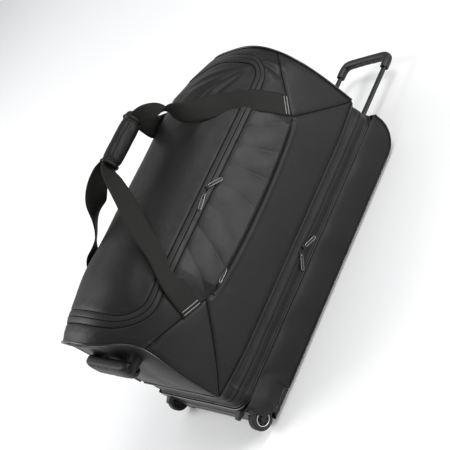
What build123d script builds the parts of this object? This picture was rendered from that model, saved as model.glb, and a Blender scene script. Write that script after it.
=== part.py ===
"""Wheeled duffel bag: a stiff-backed base compartment with a loaf-shaped duffel zipped above it.

The bag lies on its back with the lid up. +X runs along the bag towards the pull handle, the
wheels are at -X, the outer pocket is on the -Y side, and the floor is at z = 0.
"""
import os
from math import atan2, cos, hypot, pi, sin

from build123d import *

os.makedirs("parts", exist_ok=True)

# Driving dimensions of the bag body
HALF_WIDTH = 190.0        # half width of the base, and of the duffel at mid length
WHEEL_END = -468.0        # outer face of the base at the wheels
HANDLE_END = 277.0        # outer face of the base at the pull handle
BACK_Z = 10.0             # underside of the back panel, which stands on the skid rails
BAND_LOW = 88.0           # seam between the base and the zip band
BAND_HIGH = 150.0         # seam between the zip band and the duffel
SKIN = 3.0                # padded fabric wall
BAND_INSET = 4.0          # the zip band lies this far inside the base
WELT = 5.0                # piping diameter
FIT = 0.3                 # gap between neighbouring soft panels

# Duffel cross-sections, from the wheels to the pull handle: x, half width, crest height, squareness
SECTIONS = [
    (-478.0, 172.0, 432.0, 2.4),
    (-330.0, 190.0, 449.0, 2.7),
    (130.0, 190.0, 450.0, 2.7),
    (276.0, 174.0, 398.0, 3.2),
]

# Lid opening
LID_NEAR = -150.0
LID_FAR = 130.0
LID_WHEEL = -430.0
LID_HANDLE = 240.0
LID_CORNER = 85.0
LID_GAP = 1.5
ZIP_TAPE = 12.0           # width of each lid zip tape
TAPE = 1.5                # thickness of a zip tape

# Carry handles
STRAP_WIDTH = 50.0
STRAP = 2.5
GRIP_LOW_X = -123.0
GRIP_HIGH_X = 0.0
SWING_Y = 184.0           # handles swing about the upper edge of their sewn patches
SWING_Z = 300.0

# Pull handle
TUBE_Y = 85.0
TUBE_Z = 50.0
GRIP_END = 510.0

# Wheels
WHEEL_X = -463.0
WHEEL_Z = 37.0
WHEEL_RADIUS = 26.0
WHEEL_Y = 177.0
WHEEL_WIDTH = 20.0
AXLE_RADIUS = 4.0


def side_name(side):
    """Name of a side of the bag: the pocket side is near."""
    return "near" if side < 0 else "far"


def save(piece, name):
    """Label one finished piece and write its file."""
    piece.part.label = name
    export_step(piece.part, f"parts/{name}.step")


def arch_points(half_width, height, squareness, count=14):
    """Half of a superellipse arch above the upper band seam, from the side to the crest."""
    points = []
    for step in range(count + 1):
        angle = pi / 2 * step / count
        y = half_width * cos(angle) ** (2 / squareness)
        z = BAND_HIGH + height * sin(angle) ** (2 / squareness)
        points.append((y, z))
    points[-1] = (0.0, BAND_HIGH + height)
    return points


def arch_sketch(x, half_width, crest, squareness, inset):
    """Closed arch section of the duffel at one x, drawn this far inside its skin."""
    height = crest - BAND_HIGH - inset
    right = arch_points(half_width - inset, height, squareness)
    left = [(-y, z) for y, z in reversed(right[:-1])]
    with BuildSketch(Plane.YZ.offset(x), mode=Mode.PRIVATE) as section:
        with BuildLine():
            Spline(*right, *left, tangents=[(0, 1), (0, -1)])
            Line((-half_width + inset, BAND_HIGH), (half_width - inset, BAND_HIGH))
        make_face()
    return section.sketch


def loaf(inset=0.0):
    """Solid duffel shape, straight at mid length and tapering to both ends."""
    with BuildPart(mode=Mode.PRIVATE) as solid:
        for number, (x, half_width, crest, squareness) in enumerate(SECTIONS):
            end_inset = inset if number in (0, len(SECTIONS) - 1) and inset > 0 else 0.0
            shift = end_inset if number == 0 else -end_inset
            add(arch_sketch(x + shift, half_width, crest, squareness, inset))
        loft(ruled=True)
    return solid.part


def lid_prism(inset, low=BAND_HIGH + 120):
    """Upright prism of the lid outline, drawn this far inside it."""
    length = LID_HANDLE - LID_WHEEL - 2 * inset
    width = LID_FAR - LID_NEAR - 2 * inset
    middle = ((LID_HANDLE + LID_WHEEL) / 2, (LID_FAR + LID_NEAR) / 2)
    with BuildPart(mode=Mode.PRIVATE) as prism:
        with BuildSketch(Plane.XY.offset(low)):
            with Locations(middle):
                RectangleRounded(length, width, LID_CORNER - inset)
        extrude(amount=300)
    return prism.part


def region(x_low, x_high, y_low, y_high, z_low, z_high):
    """Axis-aligned block between two corners."""
    with BuildPart(mode=Mode.PRIVATE) as block:
        with Locations(((x_low + x_high) / 2, (y_low + y_high) / 2, (z_low + z_high) / 2)):
            Box(x_high - x_low, y_high - y_low, z_high - z_low)
    return block.part


def side_prism(corners, side):
    """Prism over an outline in the XZ plane, covering one side of the bag."""
    with BuildPart(mode=Mode.PRIVATE) as prism:
        with BuildSketch(Plane.XZ):
            with BuildLine():
                Polyline(*corners, close=True)
            make_face()
        extrude(amount=400, dir=(0, side, 0))
    return prism.part


def across(outline, y_low, y_high):
    """Prism over an outline in the XZ plane, between two distances across the bag."""
    with BuildPart(mode=Mode.PRIVATE) as prism:
        add(outline.moved(Location((0, y_low, 0))))
        extrude(amount=y_high - y_low, dir=(0, 1, 0))
    return prism.part


def outward(side, start, end):
    """Lowest and highest y of a span given by its distances from the middle of the bag."""
    return min(side * start, side * end), max(side * start, side * end)


def block(name, x_low, x_high, y_low, y_high, z_low, z_high, radius=0.0, axis=Axis.Z):
    """Save one block, with its edges along one axis rounded."""
    with BuildPart() as piece:
        add(region(x_low, x_high, y_low, y_high, z_low, z_high))
        if radius:
            fillet(piece.edges().filter_by(axis), radius)
    save(piece, name)


# ---------------------------------------------------------------- base compartment

BASE_CORNER = 60.0
GUARD_LENGTH = 88.0       # wheel guard along the back edge
GUARD_RIM = 18.0
GUARD_TOP = 82.0
GUARD_INNER = 136.0
base_length = HANDLE_END - WHEEL_END
base_middle = (HANDLE_END + WHEEL_END) / 2

block("back_panel", WHEEL_END + GUARD_LENGTH + FIT, HANDLE_END - BASE_CORNER,
      -HALF_WIDTH + SKIN + FIT, HALF_WIDTH - SKIN - FIT, BACK_Z, BACK_Z + SKIN)
block("frame_board", WHEEL_END + GUARD_LENGTH + 2, HANDLE_END - BASE_CORNER - 10,
      -165, 165, BACK_Z + SKIN, BACK_Z + SKIN + 4)

with BuildPart() as rails:
    with BuildSketch(Plane.XY):
        with Locations((-80, -120), (-80, 120)):
            SlotOverall(560, 20)
    extrude(amount=BACK_Z)
    fillet(rails.faces().group_by(Axis.Z)[0].edges(), 3)
save(rails, "skid_rails")


def base_outline(inset):
    """Side view of the base: square at the wheel guard, rounded at the pull handle."""
    low = BACK_Z + inset
    left = WHEEL_END + inset
    right = HANDLE_END - inset
    corner = BASE_CORNER - inset
    with BuildSketch(Plane.XZ, mode=Mode.PRIVATE) as outline:
        with BuildLine():
            Line((left, low), (right - corner, low))
            RadiusArc((right - corner, low), (right, low + corner), -corner)
            Line((right, low + corner), (right, BAND_LOW))
            Line((right, BAND_LOW), (left, BAND_LOW))
            Line((left, BAND_LOW), (left, low))
        make_face()
    return outline.sketch


def guard_outline(grow):
    """Side view of the wheel guard: an L along the back edge and the wheel end."""
    left = WHEEL_END - 1
    low = BACK_Z - 1
    right = WHEEL_END + GUARD_LENGTH + grow
    top = GUARD_TOP + grow
    rim = GUARD_RIM + grow
    with BuildSketch(Plane.XZ, mode=Mode.PRIVATE) as outline:
        with BuildLine():
            Polyline((left, low), (right, low), (right, BACK_Z + rim - 6), (right - 12, BACK_Z + rim))
            Line((right - 12, BACK_Z + rim), (WHEEL_END + rim + 26, BACK_Z + rim))
            RadiusArc((WHEEL_END + rim + 26, BACK_Z + rim), (WHEEL_END + rim, BACK_Z + rim + 26), 26)
            Polyline((WHEEL_END + rim, BACK_Z + rim + 26), (WHEEL_END + rim, top), (left, top), (left, low))
        make_face()
    return outline.sketch


for side in (-1, 1):
    with BuildPart() as panel:
        add(across(base_outline(0), *outward(side, HALF_WIDTH - SKIN, HALF_WIDTH)))
        add(across(guard_outline(FIT), *outward(side, 0, 400)), mode=Mode.SUBTRACT)
    save(panel, f"base_side_{side_name(side)}")

wall_half = HALF_WIDTH - SKIN - FIT
with BuildPart() as handle_wall:
    add(across(base_outline(0), -wall_half, wall_half))
    add(across(base_outline(SKIN), -HALF_WIDTH, HALF_WIDTH), mode=Mode.SUBTRACT)
    add(region(HANDLE_END - BASE_CORNER + FIT, 400, -200, 200, 0, BAND_LOW), mode=Mode.INTERSECT)
    with Locations((HANDLE_END, -TUBE_Y, TUBE_Z), (HANDLE_END, TUBE_Y, TUBE_Z)):
        Box(60, 34, 28, mode=Mode.SUBTRACT)
save(handle_wall, "base_handle_wall")

block("base_wheel_wall", WHEEL_END + 2, WHEEL_END + 5, -GUARD_INNER + FIT, GUARD_INNER - FIT, 48.3, BAND_LOW)
with BuildPart() as kick_plate:
    with BuildSketch(Plane.XZ.offset(-GUARD_INNER + FIT)):
        with BuildLine():
            Polyline((WHEEL_END, 48), (WHEEL_END, BACK_Z + 8), (WHEEL_END + 8, BACK_Z),
                     (WHEEL_END + GUARD_LENGTH, BACK_Z), (WHEEL_END + GUARD_LENGTH, BACK_Z + 4),
                     (WHEEL_END + 10, BACK_Z + 4), (WHEEL_END + 4, BACK_Z + 10), (WHEEL_END + 4, 48),
                     close=True)
        make_face()
    extrude(amount=2 * (GUARD_INNER - FIT), dir=(0, -1, 0))
save(kick_plate, "kick_plate")

# ---------------------------------------------------------------- wheels and their guards

for side in (-1, 1):
    name = side_name(side)
    inner_face = WHEEL_Y - WHEEL_WIDTH / 2 - 2
    with BuildPart() as guard:
        add(across(guard_outline(0), *outward(side, GUARD_INNER, HALF_WIDTH + 1)))
        add(region(WHEEL_END, 0, -300, 300, BACK_Z, 200), mode=Mode.INTERSECT)
        # block behind the wheel that carries the axle
        with Locations((WHEEL_X + 22, side * (GUARD_INNER + inner_face) / 2, BACK_Z + 32)):
            Box(50, inner_face - GUARD_INNER, 60)
        # round well for the wheel, open to the outside
        with Locations(Location((WHEEL_X, side * (inner_face + 50), WHEEL_Z), (90, 0, 0))):
            Cylinder(WHEEL_RADIUS + 4, 100, mode=Mode.SUBTRACT)
        with Locations(Location((WHEEL_X, side * (inner_face - 15), WHEEL_Z), (90, 0, 0))):
            Cylinder(AXLE_RADIUS, 60, mode=Mode.SUBTRACT)
    save(guard, f"wheel_guard_{name}")

    with BuildPart() as hub:
        with BuildSketch(Plane.XZ.offset(-side * (WHEEL_Y - WHEEL_WIDTH / 2))):
            with Locations((WHEEL_X, WHEEL_Z)):
                Circle(16)
                Circle(8, mode=Mode.SUBTRACT)
                with PolarLocations(12, 6):
                    Circle(2.2, mode=Mode.SUBTRACT)
        extrude(amount=WHEEL_WIDTH, dir=(0, side, 0))
    save(hub, f"wheel_hub_{name}")

    with BuildPart() as bearings:
        for end in (-1, 1):
            with Locations(Location((WHEEL_X, side * WHEEL_Y + end * 6.5, WHEEL_Z), (90, 0, 0))):
                Cylinder(8, 6)
                Cylinder(AXLE_RADIUS + 0.05, 6, mode=Mode.SUBTRACT)
    save(bearings, f"wheel_bearings_{name}")

    with BuildPart() as tyre:
        with BuildSketch(Plane.XY.offset(WHEEL_Z)):
            with Locations((WHEEL_X + 21, side * WHEEL_Y)):
                RectangleRounded(10, WHEEL_WIDTH, 3.5)
        revolve(axis=Axis((WHEEL_X, 0, WHEEL_Z), (0, 1, 0)))
    save(tyre, f"wheel_tyre_{name}")

with BuildPart() as axles:
    for side in (-1, 1):
        head = side * (WHEEL_Y + WHEEL_WIDTH / 2 + 2)
        root = side * (WHEEL_Y - WHEEL_WIDTH / 2 - 14)
        with Locations(Location((WHEEL_X, (head + root) / 2, WHEEL_Z), (90, 0, 0))):
            Cylinder(AXLE_RADIUS, abs(head - root))
        with Locations(Location((WHEEL_X, head, WHEEL_Z), (90, 0, 0))):
            Cylinder(7.5, 2)
save(axles, "wheel_axles")

with BuildPart() as feet:
    for side in (-1, 1):
        with BuildSketch(Plane.YZ.offset(WHEEL_END)):
            with Locations((side * 152, 74)):
                RectangleRounded(22, 14, 4)
        with BuildSketch(Plane.YZ.offset(WHEEL_END - 18)):
            with Locations((side * 152, 72)):
                RectangleRounded(14, 8, 3)
        loft()
save(feet, "standing_feet")

# ---------------------------------------------------------------- zip band

BAND_CORNER = 34.0


def band_ring(outer, thickness, low, high):
    """Rounded-rectangle ring around the bag between two heights."""
    length = base_length - 2 * outer
    width = 2 * (HALF_WIDTH - outer)
    with BuildPart(mode=Mode.PRIVATE) as ring:
        with BuildSketch(Plane.XY.offset(low)):
            with Locations((base_middle, 0)):
                RectangleRounded(length, width, BAND_CORNER - outer)
                RectangleRounded(length - 2 * thickness, width - 2 * thickness,
                                 BAND_CORNER - outer - thickness, mode=Mode.SUBTRACT)
        extrude(amount=high - low)
    return ring.part


with BuildPart() as band:
    add(band_ring(BAND_INSET, SKIN, BAND_LOW, BAND_HIGH))
save(band, "zip_band")

with BuildPart() as base_zip:
    add(band_ring(BAND_INSET - TAPE, TAPE, 108, 130))
    add(region(WHEEL_END + BAND_CORNER, 600, -300, 300, 0, 300), mode=Mode.INTERSECT)
save(base_zip, "base_zip_tape")

with BuildPart() as piping:
    for side in (-1, 1):
        add(across(base_outline(0), *outward(side, HALF_WIDTH, HALF_WIDTH + WELT)))
    add(across(base_outline(WELT), -400, 400), mode=Mode.SUBTRACT)
    add(across(guard_outline(FIT), -400, 400), mode=Mode.SUBTRACT)
    add(region(WHEEL_END + GUARD_LENGTH, 600, -400, 400, 0, BAND_LOW - WELT), mode=Mode.INTERSECT)
    for height in (BAND_LOW, BAND_HIGH - WELT):
        add(band_ring(-WELT / 2, WELT / 2 + BAND_INSET, height, height + WELT))
save(piping, "base_piping")

block("divider_panel", WHEEL_END + 12, HANDLE_END - 12, -178, 178, BAND_HIGH - 6, BAND_HIGH - 4,
      20, Axis.Z)

# ---------------------------------------------------------------- duffel skin

outer_shape = loaf()
inner_shape = loaf(SKIN)
with BuildPart() as skin:
    add(outer_shape)
    add(inner_shape, mode=Mode.SUBTRACT)
    add(lid_prism(-LID_GAP), mode=Mode.SUBTRACT)
duffel_skin = skin.part

END_FACE = 4.0
wheel_face = SECTIONS[0][0] + END_FACE
handle_face = SECTIONS[-1][0] - END_FACE
ROOF_Z = 330.0
# seam corners of the side panels, in the XZ plane
fold_wheel = (-304.0, 270.0)
fold_handle = (149.0, 270.0)
foot_wheel = (wheel_face - 20, BAND_HIGH - 20)
foot_handle = (handle_face + 20, BAND_HIGH - 20)
gusset_shapes = {
    "wheel_end": [foot_wheel, fold_wheel, (wheel_face - 20, 350.0)],
    "handle_end": [foot_handle, fold_handle, (handle_face + 20, 380.0)],
}

with BuildPart() as wheel_panel:
    add(duffel_skin)
    add(region(-600, wheel_face, -300, 300, 0, 600), mode=Mode.INTERSECT)
save(wheel_panel, "wheel_end_panel")

with BuildPart() as handle_panel:
    add(duffel_skin)
    add(region(handle_face, 600, -300, 300, 0, 600), mode=Mode.INTERSECT)
save(handle_panel, "handle_end_panel")

for side in (-1, 1):
    half = region(wheel_face, handle_face, *outward(side, 0, 300), 0, 600)
    with BuildPart() as side_panel:
        add(duffel_skin)
        add(half, mode=Mode.INTERSECT)
        add(region(-600, 600, -110, 110, 0, 600), mode=Mode.SUBTRACT)
        for corners in gusset_shapes.values():
            add(side_prism(corners, side), mode=Mode.SUBTRACT)
    save(side_panel, f"side_panel_{side_name(side)}")

with BuildPart() as gussets:
    for side in (-1, 1):
        for corners in gusset_shapes.values():
            add(side_prism(corners, side))
    add(duffel_skin, mode=Mode.INTERSECT)
    add(region(wheel_face, handle_face, -300, 300, 0, 600), mode=Mode.INTERSECT)
    add(region(-600, 600, -110, 110, 0, 600), mode=Mode.SUBTRACT)
save(gussets, "corner_gussets")

with BuildPart() as roofs:
    add(duffel_skin)
    add(region(wheel_face, handle_face, -110, 110, ROOF_Z, 600), mode=Mode.INTERSECT)
save(roofs, "roof_panels")

with BuildPart() as arch_welts:
    for section, shift in ((SECTIONS[0], -WELT), (SECTIONS[-1], 0)):
        add(arch_sketch(section[0] + shift, *section[1:], -WELT / 2))
        extrude(amount=WELT, dir=(1, 0, 0))
    for section, shift in ((SECTIONS[0], -WELT), (SECTIONS[-1], 0)):
        add(arch_sketch(section[0] + shift, *section[1:], WELT / 2))
        extrude(amount=WELT, dir=(1, 0, 0), mode=Mode.SUBTRACT)
    add(region(-600, 600, -300, 300, BAND_HIGH + FIT, 600), mode=Mode.INTERSECT)
save(arch_welts, "arch_welts")

# ---------------------------------------------------------------- lid and its zip

with BuildPart() as lid:
    add(outer_shape)
    add(inner_shape, mode=Mode.SUBTRACT)
    add(lid_prism(0), mode=Mode.INTERSECT)
save(lid, "lid")

outer_tape = loaf(-TAPE)
zip_edge = region(-600, 600, -300, LID_FAR - LID_CORNER + 20, 0, 600)
with BuildPart() as lid_tape:
    add(outer_tape)
    add(outer_shape, mode=Mode.SUBTRACT)
    add(lid_prism(0), mode=Mode.INTERSECT)
    add(lid_prism(ZIP_TAPE), mode=Mode.SUBTRACT)
    add(zip_edge, mode=Mode.INTERSECT)
save(lid_tape, "lid_zip_tape")

with BuildPart() as body_tape:
    add(outer_tape)
    add(outer_shape, mode=Mode.SUBTRACT)
    add(lid_prism(-LID_GAP - ZIP_TAPE), mode=Mode.INTERSECT)
    add(lid_prism(-LID_GAP), mode=Mode.SUBTRACT)
    add(zip_edge, mode=Mode.INTERSECT)
    add(region(-600, 600, -300, 300, BAND_HIGH + 125, 600), mode=Mode.INTERSECT)
save(body_tape, "body_zip_tape")

# ---------------------------------------------------------------- outer pocket

pocket_corners = [(-440.0, BAND_HIGH + 6), fold_wheel, fold_handle, (246.0, BAND_HIGH + 6)]
POCKET = 2.5
pocket_layer_outer = loaf(-POCKET)
with BuildPart() as pocket:
    add(pocket_layer_outer)
    add(outer_shape, mode=Mode.SUBTRACT)
    add(side_prism(pocket_corners, -1), mode=Mode.INTERSECT)
    add(region(-600, 600, -300, -120, 0, 600), mode=Mode.INTERSECT)
save(pocket, "pocket_panel")

with BuildPart() as pocket_tape:
    add(pocket_layer_outer)
    add(outer_shape, mode=Mode.SUBTRACT)
    add(region(fold_wheel[0] + 26, fold_handle[0] - 14, -300, -120, fold_wheel[1] + FIT, fold_wheel[1] + 12),
        mode=Mode.INTERSECT)
save(pocket_tape, "pocket_zip_tape")

# ---------------------------------------------------------------- zip sliders and pulls


def slider(name, x, y, z, tilt, direction):
    """Slider body on a zip, and its pull tab, lying along the zip on a cross bail.

    tilt turns the slider's flat face about X from facing -Y towards facing up.
    """
    face = Plane(origin=(x, y, z), x_dir=(1, 0, 0), z_dir=(0, -cos(tilt), sin(tilt)))
    with BuildPart() as body:
        with BuildSketch(face):
            RectangleRounded(14, 9, 3)
        extrude(amount=3.2)
    save(body, f"{name}_slider")
    tab = face.offset(3.6)
    with BuildPart() as pull:
        with BuildSketch(tab):
            with Locations((direction * 18, 0)):
                RectangleRounded(36, 9, 3)
            with Locations((direction * 26, 0)):
                SlotOverall(14, 3.5, mode=Mode.SUBTRACT)
        extrude(amount=1.8)
    save(pull, f"{name}_pull")


def on_side(z):
    """Distance from the middle, and tilt, of the duffel surface at one height at mid length."""
    half_width, crest, squareness = SECTIONS[1][1:]
    height = crest - BAND_HIGH
    rise = (z - BAND_HIGH) / height
    spread = (1 - rise ** squareness) ** (1 / squareness)
    slope = atan2(rise ** (squareness - 1) / height, spread ** (squareness - 1) / half_width)
    return half_width * spread, slope


ZIP_CLEAR = 0.4
BASE_ZIP_Z = 119.0
POCKET_ZIP_Z = 276.0
LID_ZIP_Z = 377.5
base_face = HALF_WIDTH - BAND_INSET + TAPE + ZIP_CLEAR
slider("base_left", -110, -base_face, BASE_ZIP_Z, 0, -1)
slider("base_right", -88, -base_face, BASE_ZIP_Z, 0, 1)
for name, x, z, tape, direction in (("pocket", -262, POCKET_ZIP_Z, POCKET, 1),
                                    ("lid_left", -112, LID_ZIP_Z, TAPE, -1),
                                    ("lid_right", -90, LID_ZIP_Z, TAPE, 1)):
    reach, tilt = on_side(z)
    lift = tape + ZIP_CLEAR + 0.3
    slider(name, x, -reach - lift * cos(tilt), z + lift * sin(tilt), tilt, direction)

# ---------------------------------------------------------------- carry handles


def ribbon_outline(points, width):
    """Outline of a ribbon of even width along a line of points in a plane."""
    left = []
    right = []
    for number, (u, v) in enumerate(points):
        before = points[max(number - 1, 0)]
        after = points[min(number + 1, len(points) - 1)]
        first = (u - before[0], v - before[1])
        second = (after[0] - u, after[1] - v)
        if number == 0:
            first = second
        if number == len(points) - 1:
            second = first
        normals = []
        for run_u, run_v in (first, second):
            run = hypot(run_u, run_v)
            normals.append((-run_v / run, run_u / run))
        mean = (normals[0][0] + normals[1][0], normals[0][1] + normals[1][1])
        reach = width / (mean[0] * normals[0][0] + mean[1] * normals[0][1])
        left.append((u + mean[0] * reach, v + mean[1] * reach))
        right.append((u - mean[0] * reach, v - mean[1] * reach))
    return left + right[::-1]


# cross-section of a handle, from its hinge line over the lid edge to the grip
strap_rise = [(-SWING_Y, SWING_Z + 1), (-155.0, 392.0), (-119.0, 431.0), (-12.0, 525.0), (-12.0, 553.0)]
# front view of the near handle: two legs that lean in to the grip
leg_low = [(-325.0, SWING_Z + 1), (-292.0, 392.0), (-240.0, 431.0), (-136.0, 520.0)]
leg_high = [(165.0, SWING_Z + 1), (134.0, 392.0), (96.0, 431.0), (14.0, 520.0)]


def leg_outline(points, lean):
    """One leg in the XZ view, as wide along X as its slope needs, capped by the grip bar."""
    outer = []
    inner = []
    for number, (x, z) in enumerate(points):
        half = STRAP_WIDTH / 2 * (1.05 + 0.07 * number)
        outer.append((x - lean * half, z))
        inner.append((x + lean * half, z))
    return outer, inner


low_outer, low_inner = leg_outline(leg_low, 1)
high_outer, high_inner = leg_outline(leg_high, -1)
handle_face_outline = (low_outer + [(GRIP_LOW_X - 14, 553.5), (GRIP_HIGH_X + 14, 553.5)]
                       + high_outer[::-1] + high_inner
                       + [(GRIP_HIGH_X - 10, 526), (GRIP_LOW_X + 10, 526)] + low_inner[::-1])

for side in (-1, 1):
    name = side_name(side)
    rise = [(-side * y if side > 0 else y, z) for y, z in strap_rise]
    with BuildPart() as strap:
        with BuildSketch(Plane.YZ.offset(-500)):
            with BuildLine():
                Polyline(*ribbon_outline(rise, STRAP / 2), close=True)
            make_face()
        extrude(amount=1000)
        add(side_prism(handle_face_outline, side), mode=Mode.INTERSECT)
    save(strap, f"carry_strap_{name}")

    with BuildPart() as wrap:
        with BuildSketch(Plane.YZ.offset(GRIP_LOW_X + 4)):
            with Locations((0, 537)):
                Ellipse(20, 23)
        extrude(amount=GRIP_HIGH_X - GRIP_LOW_X - 8)
        add(region(-300, 300, *outward(side, -100, 0.4), 400, 600), mode=Mode.SUBTRACT)
        add(region(-300, 300, side * 12 - 2, side * 12 + 2, 400, 554), mode=Mode.SUBTRACT)
        add(region(-300, 300, *outward(side, 9, 40), 400, 530), mode=Mode.SUBTRACT)
    save(wrap, "grip_wrap" if side < 0 else "grip_wrap_flap")

PATCH_LENGTH = 25.0
patch_z = SWING_Z - 4 - PATCH_LENGTH / 2
patch_reach, patch_tilt = on_side(patch_z)
with BuildPart() as patches:
    for side in (-1, 1):
        for x in (leg_low[0][0], leg_high[0][0]):
            face = Plane(origin=(x, side * (patch_reach + 0.4), patch_z), x_dir=(1, 0, 0),
                         z_dir=(0, side * cos(patch_tilt), sin(patch_tilt)))
            with BuildSketch(face):
                Rectangle(STRAP_WIDTH, PATCH_LENGTH)
    extrude(amount=STRAP)
save(patches, "strap_patches")

# ---------------------------------------------------------------- grab handle at the wheels

grab_x = SECTIONS[0][0]
with BuildPart() as grab:
    with BuildSketch(Plane.XY.offset(303)):
        with BuildLine():
            Polyline((grab_x, -92), (grab_x - 20, -78), (-GRIP_END, -60), (-GRIP_END, 60),
                     (grab_x - 20, 78), (grab_x, 92), (grab_x, 74), (grab_x - 14, 62),
                     (grab_x - 14, -62), (grab_x, -74), close=True)
        make_face()
    extrude(amount=34)
save(grab, "grab_handle")

# ---------------------------------------------------------------- pull handle

OUTER = (24.0, 17.0)
MIDDLE = (19.0, 12.6)
INNER = (14.4, 8.6)
TUBE_WALL = 1.2


SOCKET_X = GRIP_END - 52


def oval_tubes(name, x_low, x_high, size):
    """Pair of flat-sided oval tubes along X."""
    wide, deep = size
    bore_wide = wide - 2 * TUBE_WALL
    bore_deep = deep - 2 * TUBE_WALL
    with BuildPart() as tubes:
        with BuildSketch(Plane.YZ.offset(x_low)):
            with Locations((-TUBE_Y, TUBE_Z), (TUBE_Y, TUBE_Z)):
                RectangleRounded(wide, deep, deep * 0.45)
                RectangleRounded(bore_wide, bore_deep, bore_deep * 0.45, mode=Mode.SUBTRACT)
        extrude(amount=x_high - x_low)
    save(tubes, name)


oval_tubes("outer_tubes", -250, 262, OUTER)
oval_tubes("middle_tubes", -240, 287, MIDDLE)
oval_tubes("inner_tubes", -50, SOCKET_X + 16, INNER)

with BuildPart() as bracket:
    with Locations((-256, 0, TUBE_Z)):
        Box(10, 2 * TUBE_Y + 40, 24)
    fillet(bracket.edges().filter_by(Axis.X), 6)
save(bracket, "tube_bracket")

with BuildPart() as escutcheon:
    with BuildSketch(Plane.YZ.offset(HANDLE_END + FIT)):
        with Locations((0, TUBE_Z)):
            RectangleRounded(2 * TUBE_Y + 44, 40, 14)
    extrude(amount=5)
    for side in (-1, 1):
        with Locations((262 + 10, side * TUBE_Y, TUBE_Z)):
            Box(20, 32, 25)
    with BuildSketch(Plane.YZ.offset(260)):
        for side in (-1, 1):
            with Locations((side * TUBE_Y, TUBE_Z)):
                RectangleRounded(MIDDLE[0] + 1, MIDDLE[1] + 1, 6)
    extrude(amount=40, mode=Mode.SUBTRACT)
save(escutcheon, "handle_escutcheon")

with BuildPart() as collars:
    for side in (-1, 1):
        with Locations((290, side * TUBE_Y, TUBE_Z)):
            Box(6, MIDDLE[0] + 3, MIDDLE[1] + 3)
    fillet(collars.edges().filter_by(Axis.X), 5)
    with BuildSketch(Plane.YZ.offset(280)):
        for side in (-1, 1):
            with Locations((side * TUBE_Y, TUBE_Z)):
                RectangleRounded(INNER[0] + 1, INNER[1] + 1, 4)
    extrude(amount=20, mode=Mode.SUBTRACT)
save(collars, "stage_collars")

BUTTON = (40.0, 10.0)


def grip_shape():
    """Bow-shaped pull grip with a socket on each tube and a well for its button."""
    with BuildPart(mode=Mode.PRIVATE) as grip:
        with BuildSketch(Plane.XY.offset(TUBE_Z - 13)):
            with BuildLine():
                Polyline((SOCKET_X, -TUBE_Y - 12), (GRIP_END - 14, -TUBE_Y - 12), (GRIP_END, -TUBE_Y + 4),
                         (GRIP_END, TUBE_Y - 4), (GRIP_END - 14, TUBE_Y + 12), (SOCKET_X, TUBE_Y + 12),
                         (SOCKET_X, TUBE_Y - 12), (GRIP_END - 34, TUBE_Y - 14),
                         (GRIP_END - 24, TUBE_Y - 28), (GRIP_END - 24, -TUBE_Y + 28),
                         (GRIP_END - 34, -TUBE_Y + 14), (SOCKET_X, -TUBE_Y + 12), close=True)
            make_face()
        extrude(amount=26)
        fillet(grip.edges().filter_by(Axis.X), 4)
        with BuildSketch(Plane.YZ.offset(SOCKET_X - 1)):
            for side in (-1, 1):
                with Locations((side * TUBE_Y, TUBE_Z)):
                    RectangleRounded(INNER[0] + 0.02, INNER[1] + 0.02, 3.8)
        extrude(amount=17, mode=Mode.SUBTRACT)
        with BuildSketch(Plane.YZ.offset(GRIP_END + 1)):
            with Locations((0, TUBE_Z)):
                RectangleRounded(BUTTON[0] + 1, BUTTON[1] + 1, 4)
        extrude(amount=-17, mode=Mode.SUBTRACT)
    return grip.part


grip_solid = grip_shape()
for name, low, high in (("grip_shell_back", 0, TUBE_Z), ("grip_shell_front", TUBE_Z, 100)):
    with BuildPart() as shell:
        add(grip_solid)
        add(region(0, 600, -200, 200, low, high), mode=Mode.INTERSECT)
    save(shell, name)

with BuildPart() as button:
    with BuildSketch(Plane.YZ.offset(GRIP_END - 9)):
        with Locations((0, TUBE_Z)):
            RectangleRounded(*BUTTON, 3.5)
    extrude(amount=8)
save(button, "release_button")

with BuildPart() as screws:
    for side in (-1, 1):
        with Locations((HANDLE_END + FIT + 5, side * 40, TUBE_Z)):
            Cylinder(3.5, 1.2, rotation=(0, 90, 0), align=(Align.CENTER, Align.CENTER, Align.MIN))
save(screws, "escutcheon_screws")
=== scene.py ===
import math

import bpy
import numpy as np
from mathutils import Matrix, Vector


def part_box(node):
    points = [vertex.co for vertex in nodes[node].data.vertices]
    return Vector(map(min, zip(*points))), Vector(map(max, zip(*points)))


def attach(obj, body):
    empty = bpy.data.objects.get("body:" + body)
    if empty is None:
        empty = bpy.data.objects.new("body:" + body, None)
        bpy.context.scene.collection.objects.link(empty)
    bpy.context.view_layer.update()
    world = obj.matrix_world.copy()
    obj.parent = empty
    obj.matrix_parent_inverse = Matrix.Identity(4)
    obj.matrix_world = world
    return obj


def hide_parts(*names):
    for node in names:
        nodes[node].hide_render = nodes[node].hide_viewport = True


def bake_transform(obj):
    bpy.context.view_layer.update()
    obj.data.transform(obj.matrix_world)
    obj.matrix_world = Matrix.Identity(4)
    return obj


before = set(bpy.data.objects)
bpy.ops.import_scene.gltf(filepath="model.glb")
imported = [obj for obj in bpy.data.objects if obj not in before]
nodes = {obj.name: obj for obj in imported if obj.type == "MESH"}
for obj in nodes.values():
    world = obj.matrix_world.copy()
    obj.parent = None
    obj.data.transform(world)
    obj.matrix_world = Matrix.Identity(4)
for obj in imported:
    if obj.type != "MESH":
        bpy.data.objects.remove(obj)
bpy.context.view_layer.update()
MM = 0.001

# ---------------------------------------------------------------- studio
# A white floor of seamless paper under three soft boxes. The bag lies on its back, and the
# camera is held rolled, so that the pull handle points up and to the right.

LENS = 79.0
CAMERA_PLACE = (-0.753, -1.928, 1.232)
HEADING = 19.1
ELEVATION = 26.4
ROLL = -56.0

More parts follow.
